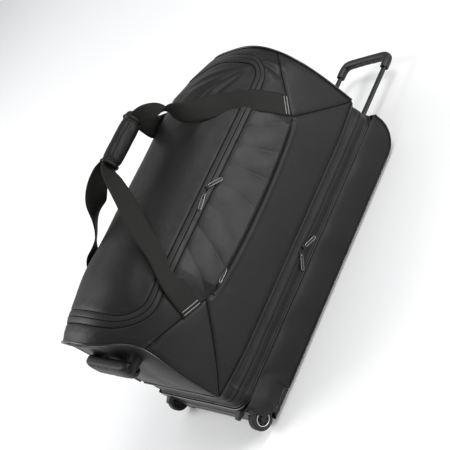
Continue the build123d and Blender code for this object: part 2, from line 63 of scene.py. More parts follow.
camera_data = bpy.data.cameras.new("camera")
camera_data.lens = LENS
camera_data.sensor_width = 36.0
camera = bpy.data.objects.new("camera", camera_data)
bpy.context.scene.collection.objects.link(camera)
turn = (Matrix.Rotation(math.radians(-HEADING), 4, "Z")
        @ Matrix.Rotation(math.radians(90 - ELEVATION), 4, "X")
        @ Matrix.Rotation(math.radians(ROLL), 4, "Z"))
camera.matrix_world = Matrix.Translation(CAMERA_PLACE) @ turn
bpy.context.scene.camera = camera


def linear(hex_colour):
    """Linear RGBA from an sRGB hex colour."""
    parts = [int(hex_colour[i:i + 2], 16) / 255 for i in (1, 3, 5)]
    return tuple(c / 12.92 if c <= 0.04045 else ((c + 0.055) / 1.055) ** 2.4 for c in parts) + (1.0,)


def add_node(tree, kind, links=(), **settings):
    """Adds a node; settings are its inputs or its own properties, links are (input, output socket)."""
    node = tree.nodes.new(kind)
    for key, value in settings.items():
        if key in node.bl_rna.properties:
            setattr(node, key, value)
    for key, value in settings.items():
        if key not in node.bl_rna.properties:
            node.inputs[int(key[1:]) if key[1:].isdigit() else key.replace("_", " ")].default_value = value
    for target, source in links:
        tree.links.new(source, node.inputs[target])
    return node


def new_material(name, colour, roughness, metallic=0.0, **shader):
    """Principled material with its tree, shader node and object coordinates."""
    material = bpy.data.materials.new(name)
    material.use_nodes = True
    tree = material.node_tree
    bsdf = tree.nodes["Principled BSDF"]
    bsdf.inputs["Base Color"].default_value = linear(colour)
    bsdf.inputs["Roughness"].default_value = roughness
    bsdf.inputs["Metallic"].default_value = metallic
    for key, value in shader.items():
        bsdf.inputs[key.replace("_", " ")].default_value = value
    place = add_node(tree, "ShaderNodeTexCoord").outputs["Object"]
    return material, tree, bsdf, place


def add_bump(tree, bsdf, height, strength, distance, under=None):
    """Relief on a material from a height, over another relief where one is given; distance in metres."""
    links = [("Height", height)] + ([("Normal", under)] if under else [])
    bump = add_node(tree, "ShaderNodeBump", links, Strength=strength, Distance=distance)
    tree.links.new(bump.outputs["Normal"], bsdf.inputs["Normal"])
    return bump.outputs["Normal"]


def grained(name, colour, roughness, grain, strength, distance, metallic=0.0, specular=0.5, **pattern):
    """Material with the relief of one procedural texture, whose kind is Noise, Wave or Voronoi."""
    material, tree, bsdf, place = new_material(name, colour, roughness, metallic, Specular_IOR_Level=specular)
    texture = add_node(tree, "ShaderNodeTex" + grain, [("Vector", place)], **pattern)
    height = texture.outputs["Distance" if grain == "Voronoi" else "Fac"]
    add_bump(tree, bsdf, height, strength, distance)
    return material


def soft_box(name, place, target, size, power):
    """Rectangular soft light aimed at a point."""
    data = bpy.data.lights.new(name, "AREA")
    data.shape = "RECTANGLE"
    data.size, data.size_y = size
    data.energy = power
    light = bpy.data.objects.new(name, data)
    bpy.context.scene.collection.objects.link(light)
    light.location = place
    light.rotation_euler = (Vector(target) - Vector(place)).to_track_quat("-Z", "Y").to_euler()


soft_box("key_soft_box", (0.95, -2.75, 1.0), (-0.12, -0.19, 0.30), (1.7, 0.65), 66)
soft_box("top_soft_box", (1.2, -1.4, 2.6), (0.2, -0.2, 0.1), (1.4, 1.2), 32)
soft_box("back_soft_box", (-1.9, 3.3, 3.3), (-0.6, 1.7, 0.0), (3.0, 3.0), 140)
bpy.context.scene.view_settings.view_transform = "Standard"

world = bpy.data.worlds.new("studio_air")
bpy.context.scene.world = world
world.use_nodes = True
world.node_tree.nodes["Background"].inputs["Color"].default_value = linear("#f4f5f7")
world.node_tree.nodes["Background"].inputs["Strength"].default_value = 0.6

floor_mesh = bpy.data.meshes.new("paper_floor")
FLOOR = 9.0
floor_mesh.from_pydata([(-FLOOR, -FLOOR, 0), (FLOOR, -FLOOR, 0), (FLOOR, FLOOR, 0), (-FLOOR, FLOOR, 0)],
                       [], [(0, 1, 2, 3)])
floor = bpy.data.objects.new("paper_floor", floor_mesh)
bpy.context.scene.collection.objects.link(floor)
paper = new_material("seamless_paper", "#f4f4f4", 0.85)[0]
floor_mesh.materials.append(paper)

# ---------------------------------------------------------------- duffel body
# Coated tarpaulin cut into side, gusset and roof panels and sewn into a loaf, with piping on
# both end arches. The cloth is stiff, so it stands in soft facets between its seams, and it
# puckers where it is gathered onto the pocket zip and onto the lid zip.

SIDE_LOW, SIDE_HIGH = (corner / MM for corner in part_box("side_panel_far"))
WHEEL_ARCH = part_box("wheel_end_panel")
HANDLE_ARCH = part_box("handle_end_panel")
SEAM_Z = SIDE_LOW[2]
HALF_WIDTH = SIDE_HIGH[1]
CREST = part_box("lid")[1][2] / MM
WHEEL_X = WHEEL_ARCH[0][0] / MM + 8
HANDLE_X = HANDLE_ARCH[1][0] / MM
TAPER_WHEEL = 150.0
TAPER_HANDLE = 150.0
CLOTH = 2.4


def stations(x):
    """Half width, height and squareness of the arch at each x."""
    near_wheel = np.clip((x - WHEEL_X) / TAPER_WHEEL, 0, 1)
    near_handle = np.clip((HANDLE_X - x) / TAPER_HANDLE, 0, 1)
    ease_wheel = np.sin(near_wheel * np.pi / 2)
    ease_handle = np.sin(near_handle * np.pi / 2)
    wheel_half = WHEEL_ARCH[1][1] / MM
    handle_half = HANDLE_ARCH[1][1] / MM
    half = (HALF_WIDTH - (HALF_WIDTH - wheel_half) * (1 - ease_wheel)
            - (HALF_WIDTH - handle_half) * (1 - ease_handle))
    wheel_crest = WHEEL_ARCH[1][2] / MM
    handle_crest = HANDLE_ARCH[1][2] / MM
    crest = (CREST - (CREST - wheel_crest) * (1 - ease_wheel)
             - (CREST - handle_crest) * (1 - near_handle ** 0.8))
    square = 2.7 - 0.3 * (1 - ease_wheel) + 0.4 * (1 - ease_handle)
    return half, crest - SEAM_Z, square


GRID_STEP = 4.0
GRID_X = np.arange(WHEEL_X - 4, HANDLE_X + 8, GRID_STEP)
GRID_V = 601
table_y = np.zeros((len(GRID_X), GRID_V))
table_z = np.zeros((len(GRID_X), GRID_V))
arc_length = 0.0
for row, x in enumerate(GRID_X):
    half, height, square = stations(np.clip(x, WHEEL_X, HANDLE_X))
    angle = np.pi * np.linspace(0, 1, 1601)
    y = -half * np.sign(np.cos(angle)) * np.abs(np.cos(angle)) ** (2 / square)
    z = SEAM_Z + height * np.abs(np.sin(angle)) ** (2 / square)
    run = np.concatenate([[0], np.cumsum(np.hypot(np.diff(y), np.diff(z)))])
    arc_length = max(arc_length, run[-1])
    at = np.linspace(0, run[-1], GRID_V)
    table_y[row] = np.interp(at, run, y)
    table_z[row] = np.interp(at, run, z)


def from_table(table, x, t):
    """Bilinear value of a table at x and at arc distance t from the near seam."""
    u = np.clip((x - GRID_X[0]) / GRID_STEP, 0, len(GRID_X) - 1.001)
    v = np.clip(t / arc_length * (GRID_V - 1), 0, GRID_V - 1.001)
    i, j = u.astype(int), v.astype(int)
    a, b = u - i, v - j
    return ((1 - a) * (1 - b) * table[i, j] + a * (1 - b) * table[i + 1, j]
            + (1 - a) * b * table[i, j + 1] + a * b * table[i + 1, j + 1])


def bump_curve(value, centre, width):
    """Bell curve of height 1 round a centre."""
    return np.exp(-((value - centre) / width) ** 2)


def loaf(x, t):
    """Smooth duffel surface at sheet coordinates x and t, before its cloth shape, in mm."""
    x, t = np.broadcast_arrays(np.asarray(x, float), np.asarray(t, float))
    y = from_table(table_y, x, t)
    z = from_table(table_z, x, t)
    v = t / arc_length
    fall = np.clip(1 - (x - WHEEL_X) / TAPER_WHEEL, 0, 1) ** 2
    shoulder = bump_curve(v, 0.27, 0.1) - 0.4 * bump_curve(v, 0.73, 0.1)
    lean = 3 + 16 * shoulder - 24 * np.exp(-((v - 0.5) / 0.17) ** 4)
    return np.stack([x + fall * lean, y, z], -1)


def t_at(z):
    """Arc distance at which the near side of the loaf reaches height z."""
    t = np.linspace(0, arc_length / 2, 800)
    return float(np.interp(z, loaf(np.zeros_like(t), t)[:, 2], t))


def t_over(y):
    """Arc distance at which the loaf passes over distance y from the middle."""
    t = np.linspace(0, arc_length, 1600)
    return float(np.interp(y, loaf(np.zeros_like(t), t)[:, 1], t))


def to_line(x, t, points):
    """Distance in the sheet from each point to a line of points."""
    best = np.full(np.shape(x), 1e9)
    for (ax, at), (bx, bt) in zip(points[:-1], points[1:]):
        dx, dt = bx - ax, bt - at
        along = np.clip(((x - ax) * dx + (t - at) * dt) / (dx * dx + dt * dt), 0, 1)
        best = np.minimum(best, np.hypot(x - ax - along * dx, t - at - along * dt))
    return best


LID_BOX = [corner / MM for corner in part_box("lid")]
LID_T = (t_over(LID_BOX[0][1]) - 4, t_over(LID_BOX[1][1]))
LID_X = (LID_BOX[0][0] + 4, LID_BOX[1][0] - 8)
WHEEL_CORNER = 70.0
HANDLE_CORNER = 42.0
HINGE_CORNER = 60.0
POCKET_T = t_at(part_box("pocket_zip_tape")[0][2] / MM + 3)
FOLD_WHEEL = -304.0
FOLD_HANDLE = 149.0
CORNER_T = POCKET_T + 7
POCKET_BOW = 13.5
TAPE = 12.0


def lean_in(x, t):
    """The lid tapers at the handle end: its end edge runs back on the far side, its near edge runs up."""
    far = np.clip((t - LID_T[0] - 135) / 120, 0, 1)
    end = np.clip((x + 60) / 290, 0, 1.2)
    near = np.clip(1 - (t - LID_T[0]) / 110, 0, 1.2)
    up = 16.0 * near * np.clip((x - 95) / 120, 0, 1.15) ** 2
    return x - 42.0 * far * far * (3 - 2 * far) * end * end, t + up


def lid_corner(x, t):
    """Corner radius of the lid nearest to each point."""
    middle_x, middle_t = (LID_X[0] + LID_X[1]) / 2, (LID_T[0] + LID_T[1]) / 2
    return np.where(t > middle_t, HINGE_CORNER, np.where(x < middle_x, WHEEL_CORNER, HANDLE_CORNER))


def lid_distance(x, t):
    """Signed distance in the sheet to the lid outline, negative on the lid."""
    moved_x, moved_t = lean_in(x, t)
    x, t = 2 * x - moved_x, 2 * t - moved_t
    cx, ct = (LID_X[0] + LID_X[1]) / 2, (LID_T[0] + LID_T[1]) / 2
    corner = lid_corner(x, t)
    qx = np.abs(x - cx) - (LID_X[1] - LID_X[0]) / 2 + corner
    qt = np.abs(t - ct) - (LID_T[1] - LID_T[0]) / 2 + corner
    return np.hypot(np.maximum(qx, 0), np.maximum(qt, 0)) + np.minimum(np.maximum(qx, qt), 0) - corner


def pocket_line(x):
    """Arc distance of the pocket zip, which bows down between its two corners."""
    s = (x - (FOLD_WHEEL + FOLD_HANDLE) / 2) / ((FOLD_HANDLE - FOLD_WHEEL) / 2)
    return CORNER_T - POCKET_BOW * np.clip(1 - s * s, 0, 1)


def mirrored(points):
    """The same line on the far side of the sheet."""
    return [(x, arc_length - t) for x, t in points]


near_seams = [
    [(WHEEL_X + 2, 0.0), (FOLD_WHEEL, CORNER_T), (WHEEL_X + 2, arc_length * 0.257)],
    [(HANDLE_X, 0.0), (FOLD_HANDLE, CORNER_T), (HANDLE_X, arc_length * 0.298)],
]
seams = near_seams + [mirrored(line) for line in near_seams]


def ripple(value, scale, phase):
    """Uneven waves, the same in each run."""
    u = value * 2 * np.pi / scale
    slow_and_fast = 0.6 * np.sin(1.73 * u + 2.1 * phase) + 0.45 * np.sin(0.57 * u + 3.7 * phase)
    return (np.sin(u + phase) + slow_and_fast) / 1.6


def crease(x, t, start, end, width, depth):
    """One soft fold between two points of the sheet, fading at its ends."""
    dx, dt = end[0] - start[0], end[1] - start[1]
    long = math.hypot(dx, dt)
    along = ((x - start[0]) * dx + (t - start[1]) * dt) / long ** 2
    across = ((x - start[0]) * dt - (t - start[1]) * dx) / long
    fade = np.clip(4 * along * (1 - along), 0, 1) ** 0.7 * (along > 0) * (along < 1)
    return depth * fade * np.exp(-(across / (width * (0.6 + 0.8 * np.clip(along, 0, 1)))) ** 2)


# Each fan of folds: the corner it starts from, then reach in x, reach in t, width and depth, in mm.
CORNER_FOLDS = [
    ((LID_X[1] - 18, LID_T[0] + 44),
     [(-190, 96, 9, 3.4), (-128, 150, 9, 3.0), (-215, 42, 9, 2.4), (-62, 150, 8, 2.6),
      (-90, 165, 7, -2.0), (-165, 120, 7, -2.0), (-150, 48, 7, -2.2)]),
    ((LID_X[0] + 46, LID_T[0] + 30),
     [(95, 75, 20, 1.3), (40, 120, 20, 1.2), (150, 35, 18, -1.0)]),
    ((LID_X[1] + 2, LID_T[0] + 34),
     [(10, -62, 9, 3.2), (-14, -70, 7, -2.6), (30, 50, 10, 2.4), (-34, -60, 7, 2.0)]),
]


def cloth_shape(x, t):
    """How far the cloth stands off the smooth loaf: seams, facets, puckers and creases, in mm."""
    side_t = np.minimum(t, arc_length - t)
    off = np.zeros(np.shape(x))
    to_seam = np.full(np.shape(x), 1e9)
    for line in seams:
        to_seam = np.minimum(to_seam, to_line(x, t, line))
    off -= 2.2 * np.exp(-(to_seam / 3.4) ** 2)
    off += 2.5 * (1 - np.exp(-to_seam / 30))
    # corner gussets are cut flat and pull in a little
    for line in seams:
        fold = line[1]
        end_x = line[0][0]
        inside = np.clip(np.abs(x - fold[0]) / abs(end_x - fold[0]), 0, 1)
        inside = inside * ((x - fold[0]) * (end_x - fold[0]) > 0)
        off -= 5.0 * inside * (1 - inside) * 4 * bump_curve(t, fold[1], 60) * 0.6
    # the panel over the pocket zip hangs out over it and puckers, and the pocket has a rolled hem
    near = t < arc_length / 2
    between = np.clip((x - FOLD_WHEEL) / 30, 0, 1) * np.clip((FOLD_HANDLE - x) / 26, 0, 1)
    gap = t - pocket_line(x)
    above = np.clip(gap / 2.0 + 0.5, 0, 1)
    lip = between * above * np.exp(-np.clip(gap, 0, None) / 60)
    off += near * 9.0 * lip
    off -= near * between * 5.0 * np.exp(-((gap + 5) / 5.0) ** 4)
    off += near * between * 1.6 * bump_curve(gap, -15, 4.5)
    fan = x + 0.9 * gap * np.clip((x + 40) / 180, -1, 1) + 5 * np.sin(x / 37)
    gather = np.exp(-((gap - 26) / 34) ** 2) + 0.7 * np.exp(-((gap - 92) / 20) ** 2)
    wave = np.abs(np.sin(fan * np.pi / 74 + 0.6)) ** 0.7 * (0.75 + 0.25 * np.sin(x / 51 + 1.0))
    off += near * between * 3.6 * (wave - 0.6) * gather * above
    off += near * between * 0.4 * ripple(x, 46, 1.3) * bump_curve(gap, -34, 18)
    # the zip pulls the cloth in a little along both edges of its tapes
    edge = lid_distance(x, t)
    off -= 1.0 * bump_curve(np.abs(edge), TAPE + 0.6, 2.6)
    off += 0.5 * bump_curve(edge, TAPE + 10, 9) + 0.5 * bump_curve(edge, -TAPE - 10, 9)
    off += 0.35 * ripple(x + t, 44, 0.4) * bump_curve(np.abs(edge), TAPE + 12, 9)
    # folds run out from the corners of the lid, the longest from the one by the pull handle
    for start, folds in CORNER_FOLDS:
        for reach_x, reach_t, width, depth in folds:
            off += crease(x, t, start, (start[0] + reach_x, start[1] + reach_t), width, depth)
    # slow unevenness of a packed bag
    off += 1.2 * ripple(x + 0.4 * t, 260, 1.9) * ripple(t - 0.3 * x, 210, 0.3)
    # everything dies away into the base seam and the end arches
    ends = np.clip(np.minimum(x - WHEEL_X, HANDLE_X - x) / 16, 0, 1)
    return off * ends * np.clip(side_t / 12, 0, 1)


def on_sheet(x, t, lift=0.0, cloth=True):
    """Points on the finished cloth, lifted along its normal, in metres, and the normals."""
    x, t = np.broadcast_arrays(np.asarray(x, float), np.asarray(t, float))

    def place(px, pt):
        base = loaf(px, pt)
        step = 3.0
        du = loaf(px + step, pt) - loaf(px - step, pt)
        dv = loaf(px, pt + step) - loaf(px, pt - step)
        out = np.cross(du, dv)
        out /= np.linalg.norm(out, axis=-1, keepdims=True)
        shape = cloth_shape(px, pt) if cloth else np.zeros(px.shape)
        return base + out * shape[..., None], out

    points, normal = place(x, t)
    step = 2.0
    du = place(x + step, t)[0] - place(x - step, t)[0]
    dv = place(x, t + step)[0] - place(x, t - step)[0]
    true = np.cross(du, dv)
    true /= np.linalg.norm(true, axis=-1, keepdims=True)
    lift = np.asarray(lift, float)
    return (points + normal * lift[..., None] if lift.ndim else points + normal * float(lift)) * MM, true


def link(mesh, name):
    """Puts a mesh in the scene as an object."""
    piece = bpy.data.objects.new(name, mesh)
    bpy.context.scene.collection.objects.link(piece)
    return piece


BAG_MIDDLE = np.array([-0.1, 0.0, 0.2])


def grid_piece(name, points, material, wrap=False, middle=BAG_MIDDLE):
    """Smooth mesh from a grid of points, facing away from a middle point.

    With wrap its last column is joined to the first.
    """
    rows, cols = points.shape[:2]
    index = np.arange(rows * cols).reshape(rows, cols)
    if wrap:
        index = np.concatenate([index, index[:, :1]], 1)
    quads = np.stack([index[:-1, :-1], index[:-1, 1:], index[1:, 1:], index[1:, :-1]], -1).reshape(-1, 4)
    corners = points.reshape(-1, 3)[quads]
    facing = np.cross(corners[:, 2] - corners[:, 0], corners[:, 3] - corners[:, 1])
    if np.sum(facing * (corners.mean(1) - middle)) < 0:
        quads = quads[:, ::-1]
    mesh = bpy.data.meshes.new(name)
    mesh.from_pydata(points.reshape(-1, 3).tolist(), [], quads.tolist())
    mesh.shade_smooth()
    mesh.materials.append(material)
    return link(mesh, name)


def thicken(piece, thickness, offset=-1.0, inner=None):
    """Gives a cloth piece its thickness, with another material on its inner face."""
    solid = piece.modifiers.new("cloth_thickness", "SOLIDIFY")
    solid.thickness = thickness
    solid.offset = offset
    if inner is not None:
        piece.data.materials.append(inner)
        solid.material_offset = 1
        solid.material_offset_rim = 0


def ring(outset, count_long=230, count_short=84, count_corner=24):
    """Loop around the lid in sheet coordinates, this far outside its outline, and its groups."""
    x0, x1 = LID_X[0] - outset, LID_X[1] + outset
    t0, t1 = LID_T[0] - outset, LID_T[1] + outset
    wheel, handle, hinge = WHEEL_CORNER + outset, HANDLE_CORNER + outset, HINGE_CORNER + outset

    def arc(cx, ct, radius, start):
        angles = math.pi / 2 * (start + (np.arange(count_corner) + 0.5) / count_corner)
        return np.stack([cx + radius * np.cos(angles), ct + radius * np.sin(angles)], -1)

    def run(ax, at, bx, bt, count):
        f = np.linspace(0, 1, count)[:, None]
        return np.array([[ax, at]]) * (1 - f) + np.array([[bx, bt]]) * f

    parts = [run(x0 + wheel, t0, x1 - handle, t0, count_long), arc(x1 - handle, t0 + handle, handle, 3),
             run(x1, t0 + handle, x1, t1 - hinge, count_short), arc(x1 - hinge, t1 - hinge, hinge, 0),
             run(x1 - hinge, t1, x0 + hinge, t1, count_long), arc(x0 + hinge, t1 - hinge, hinge, 1),
             run(x0, t1 - hinge, x0, t0 + wheel, count_short), arc(x0 + wheel, t0 + wheel, wheel, 2)]
    loop = np.concatenate(parts)
    return np.stack(lean_in(loop[:, 0], loop[:, 1]), -1), [len(part) for part in parts]


# Tarpaulin: woven polyester with a satin polyurethane coating. The eye sees a dark grey sheet
# with broad soft highlights, a faint grain, and slight changes of gloss from handling.
tarpaulin, tree, bsdf, place = new_material("satin_coated_tarpaulin", "#151516", 0.38,
                                            Specular_IOR_Level=0.25)
GRAIN_MM = 1.6
clouds = add_node(tree, "ShaderNodeTexNoise", [("Vector", place)], Scale=9.0, Detail=4.0)
shade = add_node(tree, "ShaderNodeValToRGB", [("Fac", clouds.outputs["Fac"])])
shade.color_ramp.elements[0].color = linear("#0c0c0d")
shade.color_ramp.elements[1].color = linear("#161617")
tree.links.new(shade.outputs["Color"], bsdf.inputs["Base Color"])
gloss_noise = add_node(tree, "ShaderNodeTexNoise", [("Vector", place)], Scale=26.0, Detail=5.0)
gloss = add_node(tree, "ShaderNodeMapRange", [("Value", gloss_noise.outputs["Fac"])])
gloss.inputs["To Min"].default_value = 0.42
gloss.inputs["To Max"].default_value = 0.56
tree.links.new(gloss.outputs["Result"], bsdf.inputs["Roughness"])
grain = add_node(tree, "ShaderNodeTexVoronoi", [("Vector", place)], Scale=1 / (GRAIN_MM * MM))
wrinkle = add_node(tree, "ShaderNodeTexNoise", [("Vector", place)], Scale=38.0, Detail=3.0, Distortion=0.6)
fine = add_bump(tree, bsdf, grain.outputs["Distance"], 0.10, 0.0002)
add_bump(tree, bsdf, wrinkle.outputs["Fac"], 0.22, 0.003, under=fine)

# Lining: plain woven polyester, matt dark grey.
lining = grained("woven_polyester_lining", "#303134", 0.75, "Voronoi", 0.3, 0.0003, Scale=500.0)

edge_loop, groups = ring(0.8)
marks = np.cumsum([0] + groups)
half_corner = groups[1] // 2
outer_loop = np.zeros_like(edge_loop)
corner_marks = [marks[k] + half_corner for k in (7, 1, 3, 5)]
bounds_of = zip(corner_marks, corner_marks[1:] + corner_marks[:1])
outer_corners = [(WHEEL_X, 0.0), (HANDLE_X, 0.0), (HANDLE_X, arc_length), (WHEEL_X, arc_length)]
total = len(edge_loop)
for number, (start, stop) in enumerate(bounds_of):
    span = np.arange(start, stop + (total if stop <= start else 0))
    axis = number % 2
    values = edge_loop[span % total, axis]
    f = (values - values[0]) / (values[-1] - values[0])
    a, b = np.array(outer_corners[number]), np.array(outer_corners[(number + 1) % 4])
    outer_loop[span % total] = a + f[:, None] * (b - a)

SKIN_ROWS = 104
skin_points = np.zeros((SKIN_ROWS, total, 3))
for row in range(SKIN_ROWS):
    f = row / (SKIN_ROWS - 1)
    loop = edge_loop + (outer_loop - edge_loop) * f
    skin_points[row] = on_sheet(loop[:, 0], loop[:, 1])[0]
body_skin = grid_piece("duffel_skin", skin_points, tarpaulin, wrap=True)
thicken(body_skin, CLOTH * MM, inner=lining)
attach(body_skin, "bag")
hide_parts("side_panel_near", "side_panel_far", "corner_gussets", "roof_panels", "pocket_panel")

# Seams where the gussets meet the side and the roof: turned edges, closed with dark bonded thread.
thread = grained("dark_bonded_thread", "#080808", 0.85, "Wave", 0.5, 0.0004, specular=0.1, Scale=500.0)


def tube(name, points, radius, material, closed=False, sides=8):
    """Round cord through points in metres, as a mesh."""
    points = np.asarray(points, float)
    ahead = np.roll(points, -1, 0) - np.roll(points, 1, 0)
    if not closed:
        ahead[0] = points[1] - points[0]
        ahead[-1] = points[-1] - points[-2]
    ahead /= np.linalg.norm(ahead, axis=1, keepdims=True)
    normal = np.cross(ahead[0], (0.31, 0.52, 0.79))
    frames = []
    for direction in ahead:
        normal = normal - direction * np.dot(normal, direction)
        normal /= np.linalg.norm(normal)
        frames.append((normal, np.cross(direction, normal)))
    angles = np.linspace(0, 2 * np.pi, sides, endpoint=False)
    grid = np.array([[p + radius * (math.cos(a) * n + math.sin(a) * b) for p, (n, b) in zip(points, frames)]
                     for a in list(angles) + [0.0]])
    if closed:
        grid = np.concatenate([grid, grid[:, :1]], 1)
    return grid_piece(name, grid, material)


for number, line in enumerate(seams):
    track = []
    for start, stop in zip(line[:-1], line[1:]):
        f = np.linspace(0, 1, 60)[:, None]
        track.append(np.array([start]) * (1 - f) + np.array([stop]) * f)
    track = np.concatenate([track[0], track[1][1:]])
    inside = (track[:, 0] > WHEEL_X + 3) & (track[:, 0] < HANDLE_X - 2)
    seam_line = on_sheet(track[inside, 0], track[inside, 1], 0.4)[0]
    cord = tube(f"gusset_seam_{number}", seam_line, 1.2 * MM, thread, sides=6)
    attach(cord, "bag")

# ---------------------------------------------------------------- lid
# One lined tarpaulin panel with rounded corners. It is zipped on three sides and sewn to the far
# side of the loaf, where it hinges.

LID_COLS, LID_ROWS = 230, 124
i = np.linspace(-1, 1, LID_COLS)
j = np.linspace(-1, 1, LID_ROWS)
grid_i, grid_j = np.meshgrid(i, j)


def rounded_grid(grid_i, grid_j, outset):
    """Square grid mapped onto the lid outline, with its corner cells bent into the round corners."""
    cx, ct = (LID_X[0] + LID_X[1]) / 2, (LID_T[0] + LID_T[1]) / 2
    half_x = (LID_X[1] - LID_X[0]) / 2 + outset
    half_t = (LID_T[1] - LID_T[0]) / 2 + outset
    px, pt = grid_i * half_x, grid_j * half_t
    radius = lid_corner(cx + px, ct + pt) + outset
    u = np.clip((np.abs(px) - (half_x - radius)) / radius, 0, 1)
    v = np.clip((np.abs(pt) - (half_t - radius)) / radius, 0, 1)
    bent_u = u * np.sqrt(1 - v * v / 2)
    bent_v = v * np.sqrt(1 - u * u / 2)
    px = np.sign(px) * np.where(u > 0, half_x - radius + radius * bent_u, np.abs(px))
    pt = np.sign(pt) * np.where(v > 0, half_t - radius + radius * bent_v, np.abs(pt))
    return lean_in(cx + px, ct + pt)


lid_x, lid_t = rounded_grid(grid_i, grid_j, -0.6)
lid_points = on_sheet(lid_x, lid_t)[0]
lid_skin = grid_piece("lid_cover", lid_points, tarpaulin)
thicken(lid_skin, CLOTH * MM, inner=lining)
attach(lid_skin, "lid")
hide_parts("lid")

# ---------------------------------------------------------------- end panels and piping
# Flat tarpaulin panels close both ends of the loaf. Extruded vinyl piping is sewn into the
# seam around each of them.

# Piping: black vinyl extruded over a cord, smooth, so that it shows as a bright thin line.
vinyl = grained("black_vinyl_piping", "#0e0e0f", 0.27, "Noise", 0.15, 0.001, Scale=70.0, Detail=2.0)


def end_panel(name, x, node, bulge, outward):
    """Cloth across one end arch, swelling outward by up to bulge mm between its seams."""
    rows, cols = 44, 48
    v = np.linspace(0.0, 0.4999, rows)
    grid = np.zeros((rows, cols, 3))
    for row, part in enumerate(v):
        left = loaf(np.array(x), np.array(part * arc_length))
        right = loaf(np.array(x), np.array((1 - part) * arc_length))
        f = np.linspace(0, 1, cols)[:, None]
        line = left * (1 - f) + right * f
        height = (line[:, 2] - SEAM_Z) / (CREST - SEAM_Z)
        soft = np.clip(4 * f[:, 0] * (1 - f[:, 0]), 0, 1) ** 0.6
        soft = soft * np.clip(4.5 * height * (1.05 - height), 0, 1) ** 0.7
        slow = 1 + 0.18 * ripple(line[:, 1] + 40 * height, 160, 0.8)
        line[:, 0] += outward * bulge * soft * slow
        grid[row] = line * MM
    piece = grid_piece(name, grid, tarpaulin)
    thicken(piece, CLOTH * MM, inner=lining)
    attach(piece, "bag")
    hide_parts(node)


end_panel("wheel_end_cloth", WHEEL_X, "wheel_end_panel", 11, -1)
end_panel("handle_end_cloth", HANDLE_X, "handle_end_panel", 7, 1)

PIPE = 2.4
for name, x, push in (("wheel_arch_piping", WHEEL_X, -1.2), ("handle_arch_piping", HANDLE_X, 1.2)):
    t = np.linspace(4, arc_length - 4, 160)
    line = on_sheet(np.full_like(t, x), t, 1.4, cloth=False)[0]
    line[:, 0] += push * MM
    arch = tube(name, line, PIPE * MM, vinyl)
    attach(arch, "bag")
    if push < 0:
        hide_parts("arch_welts")

# ---------------------------------------------------------------- zip band and base
# Under the loaf a band of tarpaulin goes right round the bag and carries the zip of the base
# compartment. Below it the base has two side panels, each of which runs over its wheel guard to a
# piped hem, then a wrap at the handle end and a flat back.

BAND_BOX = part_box("zip_band")
BASE_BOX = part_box("base_side_near")
BAND_LOW = BAND_BOX[0][2] / MM
BAND_TOP = BAND_BOX[1][2] / MM
BASE_WHEEL = BASE_BOX[0][0] / MM
BASE_HANDLE = BASE_BOX[1][0] / MM
BASE_BACK = BASE_BOX[0][2] / MM
BASE_HALF = -BASE_BOX[0][1] / MM
PLAN_CORNER = 38.0
BASE_CORNER = 60.0
GUARD_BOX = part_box("wheel_guard_near")
GUARD_X = GUARD_BOX[1][0] / MM
GUARD_TOP = GUARD_BOX[1][2] / MM
GUARD_RIM = 9.0
GUARD_ARC = 40.0


def base_plan(count_x=210, count_y=80, count_corner=16):
    """Plan outline of the base, anticlockwise from the near wheel corner, and its outward normals."""
    r = PLAN_CORNER

    def corner(cx, cy, start):
        a = math.pi / 2 * (start + (np.arange(count_corner) + 0.5) / count_corner)
        out = np.stack([np.cos(a), np.sin(a)], -1)
        return np.array([[cx, cy]]) + r * out, out

    def side(ax, ay, bx, by, normal, count):
        f = np.linspace(0, 1, count)[:, None]
        edge = np.array([[ax, ay]]) * (1 - f) + np.array([[bx, by]]) * f
        return edge, np.tile(np.array([normal]), (count, 1))

    x0, x1, y1 = BASE_WHEEL, BASE_HANDLE, BASE_HALF
    parts = [side(x0 + r, -y1, x1 - r, -y1, (0.0, -1.0), count_x), corner(x1 - r, -y1 + r, 3),
             side(x1, -y1 + r, x1, y1 - r, (1.0, 0.0), count_y), corner(x1 - r, y1 - r, 0),
             side(x1 - r, y1, x0 + r, y1, (0.0, 1.0), count_x), corner(x0 + r, y1 - r, 1),
             side(x0, y1 - r, x0, -y1 + r, (-1.0, 0.0), count_y), corner(x0 + r, -y1 + r, 2)]
    return np.concatenate([p[0] for p in parts]), np.concatenate([p[1] for p in parts])


plan, plan_out = base_plan()
loaf_plan = plan.copy()
loaf_half = stations(np.clip(plan[:, 0], WHEEL_X, HANDLE_X))[0]
loaf_plan[:, 1] = np.clip(plan[:, 1], -loaf_half, loaf_half)
loaf_plan[:, 0] = np.clip(plan[:, 0], WHEEL_X + 3, HANDLE_X)
plan_run = np.concatenate([[0], np.cumsum(np.linalg.norm(np.diff(plan, axis=0), axis=1))])


def band_points(levels):
    """Rings of points on the band, from (height, how far in) pairs, in metres."""
    grid = np.zeros((len(levels), len(plan), 3))
    for row, (z, inward) in enumerate(levels):
        g = (z - BAND_LOW) / (BAND_TOP - BAND_LOW)
        flat = plan * (1 - g) + loaf_plan * g
        middle = math.sin(math.pi * np.clip(g, 0, 1))
        wave = 0.9 * middle * ripple(plan_run, 118, 0.9) + 0.35 * middle * ripple(plan_run, 37, 2.0)
        grid[row, :, :2] = flat - plan_out * (inward + wave)[:, None]
        grid[row, :, 2] = z
    return grid * MM


